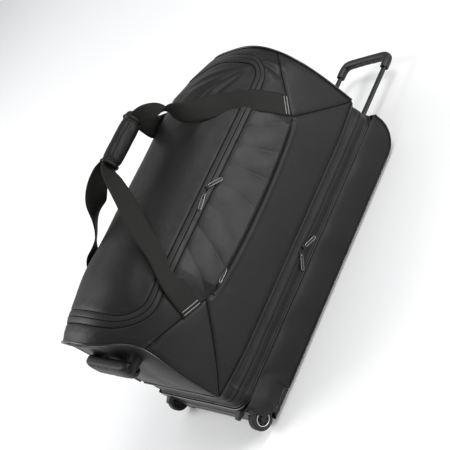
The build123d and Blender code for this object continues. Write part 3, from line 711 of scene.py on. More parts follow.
ZIP_Z = (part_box("base_zip_tape")[0][2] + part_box("base_zip_tape")[1][2]) / 2 / MM
SLIT = 0.5
lower_band = [(BAND_LOW - 1, -0.5), (92, 1.0), (95, 2.6), (99, 3.4),
              (105, 3.6), (106.5, 3.0), (107.5, 3.0), (108.2, 4.2)]
upper_band = [(129.8, 4.2), (130.5, 3.0), (131.5, 3.0), (133, 3.8),
              (140, 3.6), (144, 2.6), (147, 1.0), (BAND_TOP + 1, -0.5)]
for name, levels in (("band_cloth_low", lower_band), ("band_cloth_high", upper_band)):
    band = grid_piece(name, band_points(levels), tarpaulin, wrap=True)
    thicken(band, CLOTH * MM, inner=lining)
    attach(band, "bag")
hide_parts("zip_band")

# Coated zip tape: a satin black film over knitted tape, so only a fine slit shows between its halves.
zip_film = grained("coated_zip_tape", "#131314", 0.48, "Wave", 0.18, 0.0003, specular=0.27,
                   Scale=220.0, Distortion=3.0)
TAPE_THICK = 0.9

# Zip coil: black polyester monofilament, shiny ridges across the chain.
coil_black = grained("polyester_zip_coil", "#111113", 0.3, "Wave", 0.8, 0.0008, Scale=400.0)

tape_half = [(11.6, 2.9), (10.8, 2.4), (6.0, 2.1), (2.2, 1.7), (1.0, 1.8), (SLIT, 2.6), (SLIT, 5.0)]
for name, way in (("base_tape_low", -1), ("base_tape_high", 1)):
    levels = [(ZIP_Z + way * off, inward) for off, inward in tape_half]
    tape = grid_piece(name, band_points(levels), zip_film, wrap=True)
    thicken(tape, TAPE_THICK * MM)
    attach(tape, "bag")
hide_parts("base_zip_tape")
base_coil = tube("base_zip_coil", band_points([(ZIP_Z, 5.2)])[0], 1.6 * MM, coil_black, closed=True)
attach(base_coil, "bag")

for name, z, radius, out in (("band_piping_low", 89.6, PIPE, 1.2), ("band_piping_high", 148.6, PIPE, 1.2),
                             ("band_welt_low", 94.6, 1.1, -2.0), ("band_welt_high", 143.6, 1.1, -2.0)):
    cord = tube(name, band_points([(z, -out)])[0], radius * MM, vinyl, closed=True)
    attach(cord, "bag")


def smooth_path(points, count):
    """Points spaced along a Catmull-Rom curve through the given rows of numbers."""
    p = np.asarray(points, float)
    padded = np.concatenate([[2 * p[0] - p[1]], p, [2 * p[-1] - p[-2]]])
    out = []
    for s in np.linspace(0, len(p) - 1, count):
        i = min(int(s), len(p) - 2)
        t = s - i
        a, b, c, d = padded[i:i + 4]
        curve = (2 * a - 5 * b + 4 * c - d) * t ** 2 + (3 * b - a - 3 * c + d) * t ** 3
        out.append(0.5 * (2 * b + (c - a) * t + curve))
    return np.array(out)


def base_bottom(x):
    """Lower edge of the base side panel: round the wheel corner, along the back, up at the handle end."""
    left = BASE_WHEEL + GUARD_RIM
    if x < left:
        return GUARD_TOP + 0.5
    if x < left + GUARD_ARC:
        drop = math.sqrt(max(GUARD_ARC ** 2 - (x - left - GUARD_ARC) ** 2, 0))
        return BASE_BACK + GUARD_RIM + GUARD_ARC - drop
    if x < GUARD_X + 0.4:
        return BASE_BACK + GUARD_RIM
    reach = x - (BASE_HANDLE - BASE_CORNER)
    return BASE_BACK + (BASE_CORNER - math.sqrt(max(BASE_CORNER ** 2 - reach ** 2, 0)) if reach > 0 else 0)


def handle_curve(count):
    """Places along the bag for the rounded corner at the handle end, closer where it turns up."""
    return BASE_HANDLE - BASE_CORNER + BASE_CORNER * np.sin(np.linspace(0.05, 1, count) * np.pi / 2)


WHEEL_SWELL = 3.6


def wheel_swell(x):
    """How far the side panel and its hem swell out over the wheel guard."""
    return WHEEL_SWELL * np.clip((x - BASE_WHEEL) / 12, 0, 1) * bump_curve(x, -440, 34)


guard_left = BASE_WHEEL + GUARD_RIM
columns = np.concatenate([np.linspace(BASE_WHEEL, guard_left - 0.3, 5),
                          np.linspace(guard_left, guard_left + GUARD_ARC, 14),
                          np.linspace(guard_left + GUARD_ARC + 3, GUARD_X + 0.3, 12),
                          np.linspace(GUARD_X + 0.8, 214, 130),
                          handle_curve(22)])
rows = np.linspace(0, 1, 26)
for side_name, side in (("near", -1), ("far", 1)):
    grid = np.zeros((len(columns), len(rows), 3))
    for i, x in enumerate(columns):
        low = base_bottom(x)
        z = low + rows * (BAND_LOW + 1 - low)
        inset = np.minimum(z - low, BAND_LOW + 1 - z)
        ends = np.clip((x - BASE_WHEEL) / 12, 0, 1) * np.clip((BASE_HANDLE - x) / 26, 0, 1)
        bulge = 5.2 * ends * (1 - np.exp(-inset / 13))
        bulge += 1.2 * ends * ripple(x + 0.3 * z, 150, 1.1) * np.clip(inset / 20, 0, 1)
        bulge += wheel_swell(x) + 5.0 * ends * bump_curve(x, -418, 28) * bump_curve(z, 52, 20)
        bulge -= 2.6 * ends * bump_curve(x + 0.5 * (z - 50), -362, 14) * np.clip(inset / 12, 0, 1)
        grid[i, :, 0] = x
        grid[i, :, 1] = side * (BASE_HALF - 1.0 + bulge)
        grid[i, :, 2] = z
    panel = grid_piece(f"base_side_cloth_{side_name}", grid * MM, tarpaulin)
    thicken(panel, CLOTH * MM, inner=lining)
    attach(panel, "bag")
    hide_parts(f"base_side_{side_name}")
    edge_x = np.concatenate([np.linspace(GUARD_X + 2, 216, 60), handle_curve(16)])
    edge = [(x, side * (BASE_HALF - 0.5), base_bottom(x)) for x in edge_x]
    edge += [(BASE_HANDLE, side * (BASE_HALF - 0.5), 87.0)]
    hem_x = guard_left + GUARD_ARC * (1 - np.cos(np.linspace(0, 1, 30) * np.pi / 2))
    hem_x = np.concatenate([hem_x, [GUARD_X - 2, GUARD_X + 6]])
    hem = [(x, side * (BASE_HALF - 1.0 + wheel_swell(x)), base_bottom(x) + 0.6) for x in hem_x]
    hem = [(BASE_WHEEL + 2, side * (BASE_HALF - 1.5), base_bottom(guard_left + 0.01) + 20)] + hem
    hem_cord = tube(f"wheel_hem_{side_name}", smooth_path(hem, 90) * MM, 1.9 * MM, vinyl)
    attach(hem_cord, "bag")
    edge_cord = tube(f"base_side_piping_{side_name}", np.array(edge) * MM, PIPE * MM, vinyl)
    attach(edge_cord, "bag")
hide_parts("base_piping")

angles = np.linspace(0, 1, 20) * np.pi / 2
corner_x = BASE_HANDLE - BASE_CORNER
wrap_line = [(corner_x + BASE_CORNER * math.sin(a), BASE_BACK + BASE_CORNER * (1 - math.cos(a)))
             for a in angles]
wrap_line += [(BASE_HANDLE, z) for z in np.linspace(74, BAND_LOW + 1, 6)]
across_y = np.linspace(-1, 1, 60)
grid = np.zeros((len(wrap_line), 60, 3))
for i, (x, z) in enumerate(wrap_line):
    out = np.array([x - corner_x, min(z - BASE_BACK - BASE_CORNER, 0)])
    out /= np.linalg.norm(out)
    bulge = 2.5 * (1 - across_y ** 6) * math.sin(math.pi * i / (len(wrap_line) - 1))
    grid[i] = np.stack([x + out[0] * bulge, across_y * (BASE_HALF - 2), z + out[1] * bulge], -1)
handle_wrap = grid_piece("base_wrap_cloth", grid * MM, tarpaulin)
thicken(handle_wrap, CLOTH * MM, inner=lining)
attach(handle_wrap, "bag")
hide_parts("base_handle_wall")


def flat_cloth(name, x, y, z, sag, material, node, count=(60, 40), upright=False):
    """Cloth stretched over a rectangle, standing off it a little in the middle."""
    u, v = np.meshgrid(np.linspace(0, 1, count[0]), np.linspace(0, 1, count[1]), indexing="ij")
    soft = (np.clip(4 * u * (1 - u), 0, 1) * np.clip(4 * v * (1 - v), 0, 1)) ** 0.5
    rise = sag * soft * (1 + 0.25 * ripple(300 * u + 90 * v, 140, 0.6))
    if upright:
        grid = np.stack([x[0] + rise, y[0] + (y[1] - y[0]) * u, z[0] + (z[1] - z[0]) * v], -1)
    else:
        grid = np.stack([x[0] + (x[1] - x[0]) * u, y[0] + (y[1] - y[0]) * v, z[0] + rise], -1)
    piece = grid_piece(name, grid * MM, material)
    thicken(piece, CLOTH * MM, offset=0.0)
    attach(piece, "bag")
    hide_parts(node)
    return piece


back = [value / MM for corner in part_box("back_panel") for value in corner]
back_cloth = flat_cloth("back_cloth", (back[0], back[3]), (-BASE_HALF + 2, BASE_HALF - 2), (back[2] + 1.4,),
                        2.5, tarpaulin, "back_panel")
inner = [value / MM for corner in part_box("divider_panel") for value in corner]
divider = flat_cloth("divider_cloth", (inner[0], inner[3]), (inner[1], inner[4]), (inner[2] + 1,),
                     -4.0, lining, "divider_panel")
wall = [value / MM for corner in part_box("base_wheel_wall") for value in corner]
wheel_cloth = flat_cloth("base_wheel_cloth", (wall[0] + 1,), (wall[1], wall[4]), (wall[2], wall[5] + 1),
                         -2.5, tarpaulin, "base_wheel_wall", upright=True)

# ---------------------------------------------------------------- zips of the loaf
# The same coated zip goes round the near edge and both ends of the lid. A second zip lies under
# the lip of the pocket. Zinc sliders carry rubber pulls in a nickel-plated frame.

ZIP_END_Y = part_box("body_zip_tape")[1][1] / MM


def zip_loop(outset):
    """Part of the lid outline that the zip follows, this far outside it."""
    loop, parts = ring(outset)
    at = np.cumsum([0] + parts)
    order = np.concatenate([np.arange(at[6], at[8]), np.arange(0, at[3])])
    loop = loop[order]
    y = loaf(loop[:, 0], loop[:, 1])[:, 1]
    return loop, y < ZIP_END_Y


keep = zip_loop(0)[1]
lid_tape_rows = [(11.6, 0.2), (11.0, 0.7), (7.0, 0.8), (3.0, 1.1), (1.0, 1.15), (SLIT, 0.7), (SLIT, -1.5)]
for name, way, body, node in (("lid_tape_body", 1, "bag", "body_zip_tape"),
                              ("lid_tape_lid", -1, "lid", "lid_zip_tape")):
    rows_of_points = []
    for off, lift in lid_tape_rows:
        loop = zip_loop(way * off)[0][keep]
        rows_of_points.append(on_sheet(loop[:, 0], loop[:, 1], lift + 0.8)[0])
    tape = grid_piece(name, np.array(rows_of_points), zip_film)
    thicken(tape, TAPE_THICK * MM)
    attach(tape, body)
    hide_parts(node)
    loop = zip_loop(way * 1.6)[0][keep]
    coil = tube(f"{name}_coil", on_sheet(loop[:, 0], loop[:, 1], -2.4)[0], 1.4 * MM, coil_black)
    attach(coil, body)
    loop = zip_loop(way * 12.4)[0][keep]
    welt = tube(f"{name}_stitching", on_sheet(loop[:, 0], loop[:, 1], 0.3)[0], 0.8 * MM, thread, sides=6)
    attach(welt, body)

hinge_loop = ring(0)[0][np.cumsum([0] + groups)[3]:np.cumsum([0] + groups)[6]]
hinge_seam = tube("lid_hinge_welt", on_sheet(hinge_loop[:, 0], hinge_loop[:, 1], 0.6)[0], 1.8 * MM, vinyl)
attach(hinge_seam, "bag")

POCKET_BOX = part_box("pocket_zip_tape")
pocket_x = np.linspace(POCKET_BOX[0][0] / MM - 12, POCKET_BOX[1][0] / MM + 8, 150)
pocket_tape_rows = [(-11.5, 0.6), (-10, 1.6), (-5.2, 1.8), (-4.6, 0.9), (-4.2, 1.8), (-2.4, 1.6)]
rows_of_points = [on_sheet(pocket_x, pocket_line(pocket_x) + off, lift)[0] for off, lift in pocket_tape_rows]
pocket_tape = grid_piece("pocket_tape", np.array(rows_of_points), zip_film)
thicken(pocket_tape, TAPE_THICK * MM)
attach(pocket_tape, "bag")
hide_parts("pocket_zip_tape")
coil_line = on_sheet(pocket_x, pocket_line(pocket_x) - 4.7, 0.6)[0]
pocket_coil = tube("pocket_zip_coil", coil_line, 0.9 * MM, coil_black)
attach(pocket_coil, "bag")

# Nickel-plated zinc: a grey metal with soft reflections, duller where it is scuffed.
nickel, tree, bsdf, place = new_material("nickel_plated_zinc", "#8c8c8a", 0.28, metallic=1.0)
scuff = add_node(tree, "ShaderNodeTexNoise", [("Vector", place)], Scale=900.0, Detail=3.0)
scuff_range = add_node(tree, "ShaderNodeMapRange", [("Value", scuff.outputs["Fac"])])
scuff_range.inputs["To Min"].default_value = 0.2
scuff_range.inputs["To Max"].default_value = 0.42
tree.links.new(scuff_range.outputs["Result"], bsdf.inputs["Roughness"])

# Black paint over zinc or steel: glossy, with a faint orange peel.
black_zinc = grained("black_painted_zinc", "#1b1b1d", 0.3, "Noise", 0.1, 0.0002, metallic=0.4, Scale=1500.0)

# Moulded rubber of the pulls: soft black with a fine eroded texture.
pull_rubber = grained("moulded_pull_rubber", "#161617", 0.6, "Noise", 0.3, 0.0002, Scale=2500.0, Detail=2.0)


def soft_block(name, matrix, size, radius, material):
    """Rounded block, size in mm, placed by a matrix in metres."""
    mesh = bpy.data.meshes.new(name)
    x, y, z = (value / 2 * MM for value in size)
    mesh.from_pydata([(sx * x, sy * y, sz * z) for sx in (-1, 1) for sy in (-1, 1) for sz in (-1, 1)], [],
                     [(0, 1, 3, 2), (4, 6, 7, 5), (0, 4, 5, 1), (2, 3, 7, 6), (0, 2, 6, 4), (1, 5, 7, 3)])
    mesh.materials.append(material)
    piece = link(mesh, name)
    piece.matrix_world = matrix
    bevel = piece.modifiers.new("rounded_edges", "BEVEL")
    bevel.width = radius * MM
    bevel.segments = 3
    mesh.shade_smooth()
    return piece


PULL_TILT = 0.035


def zip_pull(joint_name, along, out, seat, length=36.0, width=9.0):
    """Slider and pull: along is the way the pull points, out is away from the cloth, seat is in mm."""
    out = Vector(out).normalized()
    along = (Vector(along) - out * out.dot(Vector(along))).normalized()
    across = out.cross(along)
    turn = Matrix((along, across, out)).transposed().to_4x4()
    seat = Vector(seat)

    def at(a, b, c):
        return Matrix.Translation((seat + along * a + across * b + out * c) * MM) @ turn

    slider = joint_name + "_slider"
    wings = soft_block(f"{joint_name}_slider_plate", at(0, 0, 1.8), (14, 9, 3.0), 1.3, black_zinc)
    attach(wings, slider)
    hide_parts(slider)
    bridge_rise = [(-5.0, 2.6), (-4.2, 4.6), (-1.0, 5.4), (3.0, 5.2), (4.8, 4.4), (5.6, 2.6)]
    bridge_line = [at(a, 0, c).translation for a, c in bridge_rise]
    bridge = tube(f"{joint_name}_slider_bridge", bridge_line, 1.1 * MM, black_zinc)
    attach(bridge, slider)
    pull = joint_name + "_pull"
    steps = np.linspace(0, 2 * np.pi, 40, endpoint=False)
    half_long, half_wide = length / 2 - 1, width / 2 - 0.9
    frame_line = []
    for a in steps:
        c, s = math.cos(a), math.sin(a)
        u = half_long * math.copysign(abs(c) ** 0.35, c)
        w = half_wide * math.copysign(abs(s) ** 0.6, s) * (1 - 0.12 * (1 - u / half_long))
        frame_line.append(at(u + half_long, w, 4.4 - PULL_TILT * (u + half_long)).translation)
    loop = tube(f"{joint_name}_pull_frame", frame_line, 1.05 * MM, nickel, closed=True)
    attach(loop, pull)
    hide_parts(pull)
    tilt = Matrix.Rotation(PULL_TILT, 4, "Y")
    insert = soft_block(f"{joint_name}_pull_insert", at(length * 0.58, 0, 3.7) @ tilt,
                        (length * 0.66, width - 2.4, 1.8), 0.8, pull_rubber)
    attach(insert, pull)


for name, x, way, droop in (("lid_left", -112.0, -1, 0.15), ("lid_right", -90.0, 1, 0.8)):
    seat, out = on_sheet(np.array([x]), np.array([LID_T[0]]), 3.2)
    zip_pull(name, (way, 0, -droop), out[0], seat[0] / MM)
for name, x, way, droop in (("base_left", -110.0, -1, 0.7), ("base_right", -88.0, 1, 0.45)):
    zip_pull(name, (way, 0, -droop), (0, -1, 0), (x, -BASE_HALF + 1.2, ZIP_Z))
seat, out = on_sheet(np.array([-262.0]), np.array([pocket_line(-262.0) - 4.0]), 2.4)
zip_pull("pocket", (1, 0, 0), out[0], seat[0] / MM)

# ---------------------------------------------------------------- carry straps
# Two loops of 50 mm polypropylene webbing are sewn to the sides. They meet over the lid in a
# padded cuff, where each is folded lengthwise, and they twist on the way up to it.

WEB_WIDTH = 50.0
WEB_THICK = 1.9

# Woven webbing: matt dark olive-grey yarn in a herringbone, with a denser selvedge.
webbing, tree, bsdf, place = new_material("polypropylene_webbing", "#1d1d1a", 0.7, Specular_IOR_Level=0.2)
strap_place = add_node(tree, "ShaderNodeAttribute", attribute_name="strap_mm")
split = add_node(tree, "ShaderNodeSeparateXYZ", [("Vector", strap_place.outputs["Vector"])])
YARN_MM = 2.4
zigzag = add_node(tree, "ShaderNodeMath", [(0, split.outputs["X"])], operation="PINGPONG")
zigzag.inputs[1].default_value = 5.0
lean = add_node(tree, "ShaderNodeMath", [(0, split.outputs["Y"]), (1, zigzag.outputs[0])], operation="ADD")
rib = add_node(tree, "ShaderNodeMath", [(0, lean.outputs[0])], operation="PINGPONG")
rib.inputs[1].default_value = YARN_MM / 2
weave_tone = add_node(tree, "ShaderNodeMapRange", [("Value", rib.outputs[0])])
weave_tone.inputs["From Max"].default_value = YARN_MM / 2
weave_mix = add_node(tree, "ShaderNodeMix", [("Factor", weave_tone.outputs["Result"])], data_type="RGBA")
weave_mix.inputs["A"].default_value = linear("#10100e")
weave_mix.inputs["B"].default_value = linear("#1f1f1b")
tree.links.new(weave_mix.outputs["Result"], bsdf.inputs["Base Color"])
add_bump(tree, bsdf, weave_tone.outputs["Result"], 0.5, 0.0006)


def strap(name, stops, count=120, thick=WEB_THICK, material=None, lanes=9):
    """Webbing through stops: centre x, y, z, then the direction across the webbing, then its width."""
    stops = [tuple(p) + (tuple(a) + (w,)) for p, a, w in stops]
    path = smooth_path(stops, count)
    centre = path[:, :3]
    ahead = np.gradient(centre, axis=0)
    ahead /= np.linalg.norm(ahead, axis=1, keepdims=True)
    side = path[:, 3:6] - ahead * np.sum(path[:, 3:6] * ahead, 1, keepdims=True)
    side /= np.linalg.norm(side, axis=1, keepdims=True)
    face = np.cross(ahead, side)
    run = np.concatenate([[0], np.cumsum(np.linalg.norm(np.diff(centre, axis=0), axis=1))])
    lane = np.linspace(-0.5, 0.5, lanes)
    width = path[:, 6]
    curl = (WEB_WIDTH - width) * 0.35 + 0.8 * np.clip(run / 90, 0, 1)
    grid = (centre[:, None] + side[:, None] * (lane[None, :, None] * width[:, None, None])
            + face[:, None] * (np.cos(lane * np.pi)[None, :, None] * curl[:, None, None]))
    piece = grid_piece(name, grid * MM, material or webbing)
    place = piece.data.attributes.new("strap_mm", "FLOAT_VECTOR", "POINT")
    values = np.zeros((count, lanes, 3))
    values[:, :, 0] = lane[None] * WEB_WIDTH
    values[:, :, 1] = run[:, None]
    place.data.foreach_set("vector", values.reshape(-1))
    thicken(piece, thick * MM, offset=0.0)
    return piece


def mirror_y(stops):
    """The same stops of a strap on the far side."""
    return [((p[0], -p[1], p[2]), (a[0], -a[1], a[2]), w) for p, a, w in stops]


def on_cloth(x, t, lift):
    """Point this far off the cloth, in mm, at sheet coordinates."""
    return tuple(on_sheet(np.array([x]), np.array([t]), lift)[0][0] / MM)


def along_seam(x, t, dx, dt):
    """Direction on the cloth along a seam."""
    way = np.array(on_cloth(x + 8 * dx, t + 8 * dt, 0.0)) - np.array(on_cloth(x, t, 0.0))
    return tuple(way / np.linalg.norm(way))


low_seam = along_seam(-338, 147, 0.9, -0.44)
high_seam = along_seam(166, 149, -0.75, -0.66)
near_low = [
    (on_cloth(-341, 145, 2.4), low_seam, 50),
    (on_cloth(-334, 160, 2.8), low_seam, 50),
    (on_cloth(-323, 186, 4.0), low_seam, 50),
    (on_cloth(-306, 218, 6.5), (0.87, 0.1, -0.48), 50),
    ((-270, -144, 406), (0.85, 0.15, -0.5), 50),
    ((-231, -104, 453), (0.83, 0.15, -0.54), 50),
    ((-189, -66, 489), (0.78, 0.12, -0.62), 48),
    ((-155, -34, 522), (0.6, 0.05, -0.8), 43),
    ((-135, -14, 538), (0.25, 0.0, -0.96), 36),
    ((-116, -7, 539), (0.0, 0.0, -1.0), 33),
    ((-100, -6, 538), (0.0, 0.0, -1.0), 33),
]
near_high = [
    (on_cloth(167, 148, 2.6), high_seam, 50),
    (on_cloth(159, 162, 3.0), high_seam, 50),
    (on_cloth(149, 186, 4.2), high_seam, 50),
    (on_cloth(129, 224, 6.0), (-0.76, -0.12, -0.64), 50),
    ((98, -131, 414), (-0.8, -0.1, -0.58), 50),
    ((66, -108, 448), (-0.86, 0.1, -0.5), 48),
    ((48, -90, 468), (-0.8, 0.45, -0.4), 46),
    ((41, -74, 488), (-0.45, 0.85, -0.3), 44),
    ((36, -56, 506), (0.35, 0.9, 0.1), 42),
    ((26, -40, 520), (0.8, 0.45, 0.4), 40),
    ((12, -24, 531), (0.55, 0.1, 0.83), 36),
    ((-4, -11, 536), (0.15, 0.0, 1.0), 33),
    ((-24, -6, 538), (0.0, 0.0, 1.0), 32),
]
far_low = mirror_y(near_low[:4]) + [
    ((-278, 132, 424), (0.8, 0.35, -0.35), 50),
    ((-243, 102, 449), (0.67, 0.72, -0.14), 50),
    ((-212, 80, 478), (0.62, 0.6, -0.3), 50),
    ((-170, 50, 516), (0.40, -0.53, -0.74), 47),
    ((-141, 24, 534), (0.2, -0.5, -0.84), 40),
    ((-118, 8, 538), (0.0, 0.0, -1.0), 33),
    ((-100, 6, 538), (0.0, 0.0, -1.0), 33),
]
far_high = mirror_y(near_high[:4]) + [
    ((92, 146, 408), (-0.85, 0.2, -0.45), 50),
    ((58, 108, 438), (-0.92, -0.1, -0.3), 50),
    ((34, 72, 466), (-0.92, -0.25, -0.3), 48),
    ((18, 40, 506), (-0.85, -0.2, -0.5), 44),
    ((4, 16, 532), (-0.4, 0.0, -0.9), 38),
    ((-12, 7, 538), (0.0, 0.0, -1.0), 33),
    ((-26, 6, 538), (0.0, 0.0, -1.0), 33),
]
for name, stops, body, side in (("near_strap_low", near_low, "near_handle", -1),
                                ("near_strap_high", near_high, "near_handle", -1),
                                ("far_strap_low", far_low, "far_handle", 1),
                                ("far_strap_high", far_high, "far_handle", 1)):
    webbing_leg = strap(name, stops)
    evaluated = webbing_leg.evaluated_get(bpy.context.evaluated_depsgraph_get())
    applied = bpy.data.meshes.new_from_object(evaluated)
    webbing_leg.modifiers.clear()
    webbing_leg.data = applied
    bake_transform(webbing_leg)
    if name.endswith("low"):
        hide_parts("carry_strap_near" if side < 0 else "carry_strap_far")

# Two bars of pale thread cross each strap's sewn end.
pale_thread = grained("pale_bar_tack_thread", "#8f8f8a", 0.55, "Wave", 0.6, 0.0004, Scale=420.0)

BAR_HALF = 21.0
legs = {"near_low": near_low, "near_high": near_high, "far_low": far_low, "far_high": far_high}
for name, stops in legs.items():
    foot, up = np.array(stops[0][0]), np.array(stops[1][0])
    across = np.array(stops[0][1])
    along = (up - foot) / np.linalg.norm(up - foot)
    across = across - along * np.dot(across, along)
    across /= np.linalg.norm(across)
    off_cloth = np.cross(along, across)
    if off_cloth[1] * foot[1] < 0:
        off_cloth = -off_cloth
    for number, reach in enumerate((6.0, 13.5)):
        middle = foot + along * reach + off_cloth * 1.3
        ends = np.linspace(-BAR_HALF, BAR_HALF, 12)[:, None]
        bar = tube(f"bar_tack_{name}_{number}", (middle + across * ends) * MM, 0.9 * MM, pale_thread, sides=6)
        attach(bar, "bag")
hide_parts("strap_patches")

# ---------------------------------------------------------------- grip cuff
# The cuff that holds both straps together: tarpaulin over 5 mm foam, in two halves, each sewn
# to its own strap, with bound rims at the ends and a flap edge that runs along it.

cuff_corners = (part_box("grip_wrap")[0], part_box("grip_wrap_flap")[1])
CUFF_BOX = [value / MM for corner in cuff_corners for value in corner]
CUFF_X = (CUFF_BOX[0] - 4, CUFF_BOX[3] + 4)
CUFF_Z = (CUFF_BOX[2] + CUFF_BOX[5]) / 2
CUFF_HALF_Z = (CUFF_BOX[5] - CUFF_BOX[2]) / 2 - 4.5
CUFF_HALF_Y = CUFF_BOX[4] - 3.0

# Padded tarpaulin: the same coated cloth over foam, matt, with fine soft folds.
padded_cloth, tree, bsdf, place = new_material("padded_coated_cloth", "#0f0f10", 0.5, Specular_IOR_Level=0.25)
skin_grain = add_node(tree, "ShaderNodeTexVoronoi", [("Vector", place)], Scale=700.0)
skin_fold = add_node(tree, "ShaderNodeTexNoise", [("Vector", place)], Scale=60.0, Detail=3.0, Distortion=1.2)
fine = add_bump(tree, bsdf, skin_grain.outputs["Distance"], 0.12, 0.0002)
add_bump(tree, bsdf, skin_fold.outputs["Fac"], 0.3, 0.002, under=fine)

for name, side, body, node in (("cuff_near", -1, "near_handle", "grip_wrap"),
                               ("cuff_far", 1, "far_handle", "grip_wrap_flap")):
    around = np.linspace(0.01, 0.99, 44) * np.pi
    along = np.linspace(CUFF_X[0], CUFF_X[1], 90)
    f = (along - CUFF_X[0]) / (CUFF_X[1] - CUFF_X[0])
    grid = np.zeros((len(along), len(around), 3))
    for i, x in enumerate(along):
        rim = math.exp(-((f[i] - 0.035) / 0.03) ** 4) + math.exp(-((f[i] - 0.965) / 0.03) ** 4)
        pinch = bump_curve(f[i], 0.10, 0.03) + bump_curve(f[i], 0.90, 0.03)
        crown = math.sin(math.pi * np.clip(f[i], 0.02, 0.98)) ** 0.35
        swell = 2.6 * rim - 1.6 * pinch + 1.6 * crown
        flap = around - 1.05 - 0.05 * math.sin(9 * f[i])
        fold = 2.8 / (1 + np.exp(-flap / 0.035)) + bump_curve(flap, 0.16, 0.09)
        fold = fold * (0.09 < f[i] < 0.91)
        dent = 0.5 * crown * bump_curve(around, 1.75 + 0.25 * math.sin(4 * f[i] + 1), 0.22)
        waves = 0.25 * ripple(np.full_like(around, x) + 14 * around, 47, 0.5)
        r = swell + fold - dent + waves
        grid[i, :, 0] = x
        grid[i, :, 1] = side * ((CUFF_HALF_Y + r) * np.abs(np.sin(around)) ** 0.85 + 0.5)
        grid[i, :, 2] = CUFF_Z + (CUFF_HALF_Z + r) * np.cos(around)
    cuff_middle = np.array([(CUFF_X[0] + CUFF_X[1]) / 2, 0, CUFF_Z]) * MM
    cuff = grid_piece(name, grid * MM, padded_cloth, middle=cuff_middle)
    thicken(cuff, 4.5 * MM, inner=lining)
    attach(cuff, body)
    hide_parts(node)

# ---------------------------------------------------------------- grab handle
# A padded bar of the same cloth over foam on webbing, sewn across the wheel end of the bag so
# that it can be lifted out of a car boot.

GRAB_BOX = [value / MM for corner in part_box("grab_handle") for value in corner]
GRAB_HALF = GRAB_BOX[4] + 5
GRAB_Z = (GRAB_BOX[2] + GRAB_BOX[5]) / 2
GRAB_OUT = GRAB_BOX[0] + 1
GRAB_THICK = 29.0
along = np.linspace(-1, 1, 110)
around = np.linspace(0, 2 * np.pi, 48, endpoint=False)
grid = np.zeros((len(along), len(around), 3))
for i, f in enumerate(along):
    end = (1 - abs(f) ** 14) ** 0.5
    back_off = 3.0 * max(abs(f) - 0.7, 0) / 0.3
    seam = 0.8 * (math.exp(-((abs(f) - 0.93) / 0.012) ** 2))
    half_x = GRAB_THICK / 2 * (0.30 + 0.70 * end) - seam
    half_z = ((GRAB_BOX[5] - GRAB_BOX[2]) / 2 + 6) * (0.55 + 0.45 * end) - seam * 0.7
    puff = 0.6 * ripple(92 * f + 8 * around, 34, 1.4)
    deep = np.sign(np.cos(around)) * np.abs(np.cos(around)) ** 0.6 * (half_x + puff * 0.5)
    high = np.sign(np.sin(around)) * np.abs(np.sin(around)) ** 0.6 * (half_z + puff * 0.4)
    grid[i, :, 0] = GRAB_OUT + GRAB_THICK / 2 + back_off - deep
    grid[i, :, 1] = f * GRAB_HALF
    grid[i, :, 2] = GRAB_Z + high - 1.5 * (1 - f * f)
grab_middle = np.array([GRAB_OUT + 9, 0, GRAB_Z]) * MM
grab = grid_piece("grab_pad", grid * MM, padded_cloth, wrap=True, middle=grab_middle)
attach(grab, "bag")
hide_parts("grab_handle")
for number, side in enumerate((-1, 1)):
    tab_line = [(GRAB_OUT + 15, 22, 22), (GRAB_OUT + 15, 8, 22), (GRAB_OUT + 20, 5, 22),
                (WHEEL_X + 2, 3, 24), (WHEEL_X + 12, 2, 24)]
    stops = [((x, side * (GRAB_HALF - inset), GRAB_Z), (0, 0, 1), width) for x, inset, width in tab_line]
    tab = strap(f"grab_tab_{number}", stops, count=30, thick=2.4, material=padded_cloth)
    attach(tab, "bag")

# ---------------------------------------------------------------- kept parts: hard goods
# Wheels, guards, kick plate, tubes and fittings: moulded nylon and ABS, drawn aluminium and plated
# steel, screwed or riveted to the base. They keep their engineering shape and get their finish.

# Glass-filled nylon: moulded black with a fine spark-eroded grain.
nylon = grained("moulded_black_nylon", "#111112", 0.42, "Noise", 0.25, 0.0003, specular=0.4,
                Scale=1200.0, Detail=3.0)

# Anodised aluminium tube: drawn, brushed lightly along its length and dyed black.
anodised, tree, bsdf, place = new_material("black_anodised_tube", "#101011", 0.4, metallic=0.3)
stretch = add_node(tree, "ShaderNodeMapping", [("Vector", place)])
stretch.inputs["Scale"].default_value = (6.0, 900.0, 900.0)
brushed = add_node(tree, "ShaderNodeTexNoise", [("Vector", stretch.outputs["Vector"])], Scale=1.0, Detail=3.0)
add_bump(tree, bsdf, brushed.outputs["Fac"], 0.12, 0.0002)

# Polyurethane tyre: dark grey, slightly dusty where it rolls.
tyre, tree, bsdf, place = new_material("polyurethane_tyre", "#161617", 0.55, Specular_IOR_Level=0.35)
dust = add_node(tree, "ShaderNodeTexNoise", [("Vector", place)], Scale=260.0, Detail=4.0)
dust_mix = add_node(tree, "ShaderNodeMix", [("Factor", dust.outputs["Fac"])], data_type="RGBA")
dust_mix.inputs["A"].default_value = linear("#121213")
dust_mix.inputs["B"].default_value = linear("#1f1f21")
tree.links.new(dust_mix.outputs["Result"], bsdf.inputs["Base Color"])

# Ring round each hub: ABS with a bright vacuum-plated skin.
plated_abs = grained("plated_abs_hub", "#c9c9c8", 0.3, "Noise", 0.08, 0.0002, metallic=0.7, Scale=800.0)

# Zinc-plated steel of the escutcheon screws: bright grey with a faint spangle.
zinc_steel = grained("zinc_plated_steel", "#9a9b9d", 0.33, "Noise", 0.1, 0.0002, metallic=1.0, Scale=600.0)

# Frame board: pressed hardboard, brown-grey with short fibres.
hardboard = grained("pressed_hardboard", "#4a4038", 0.8, "Noise", 0.3, 0.0003, Scale=300.0, Detail=5.0)

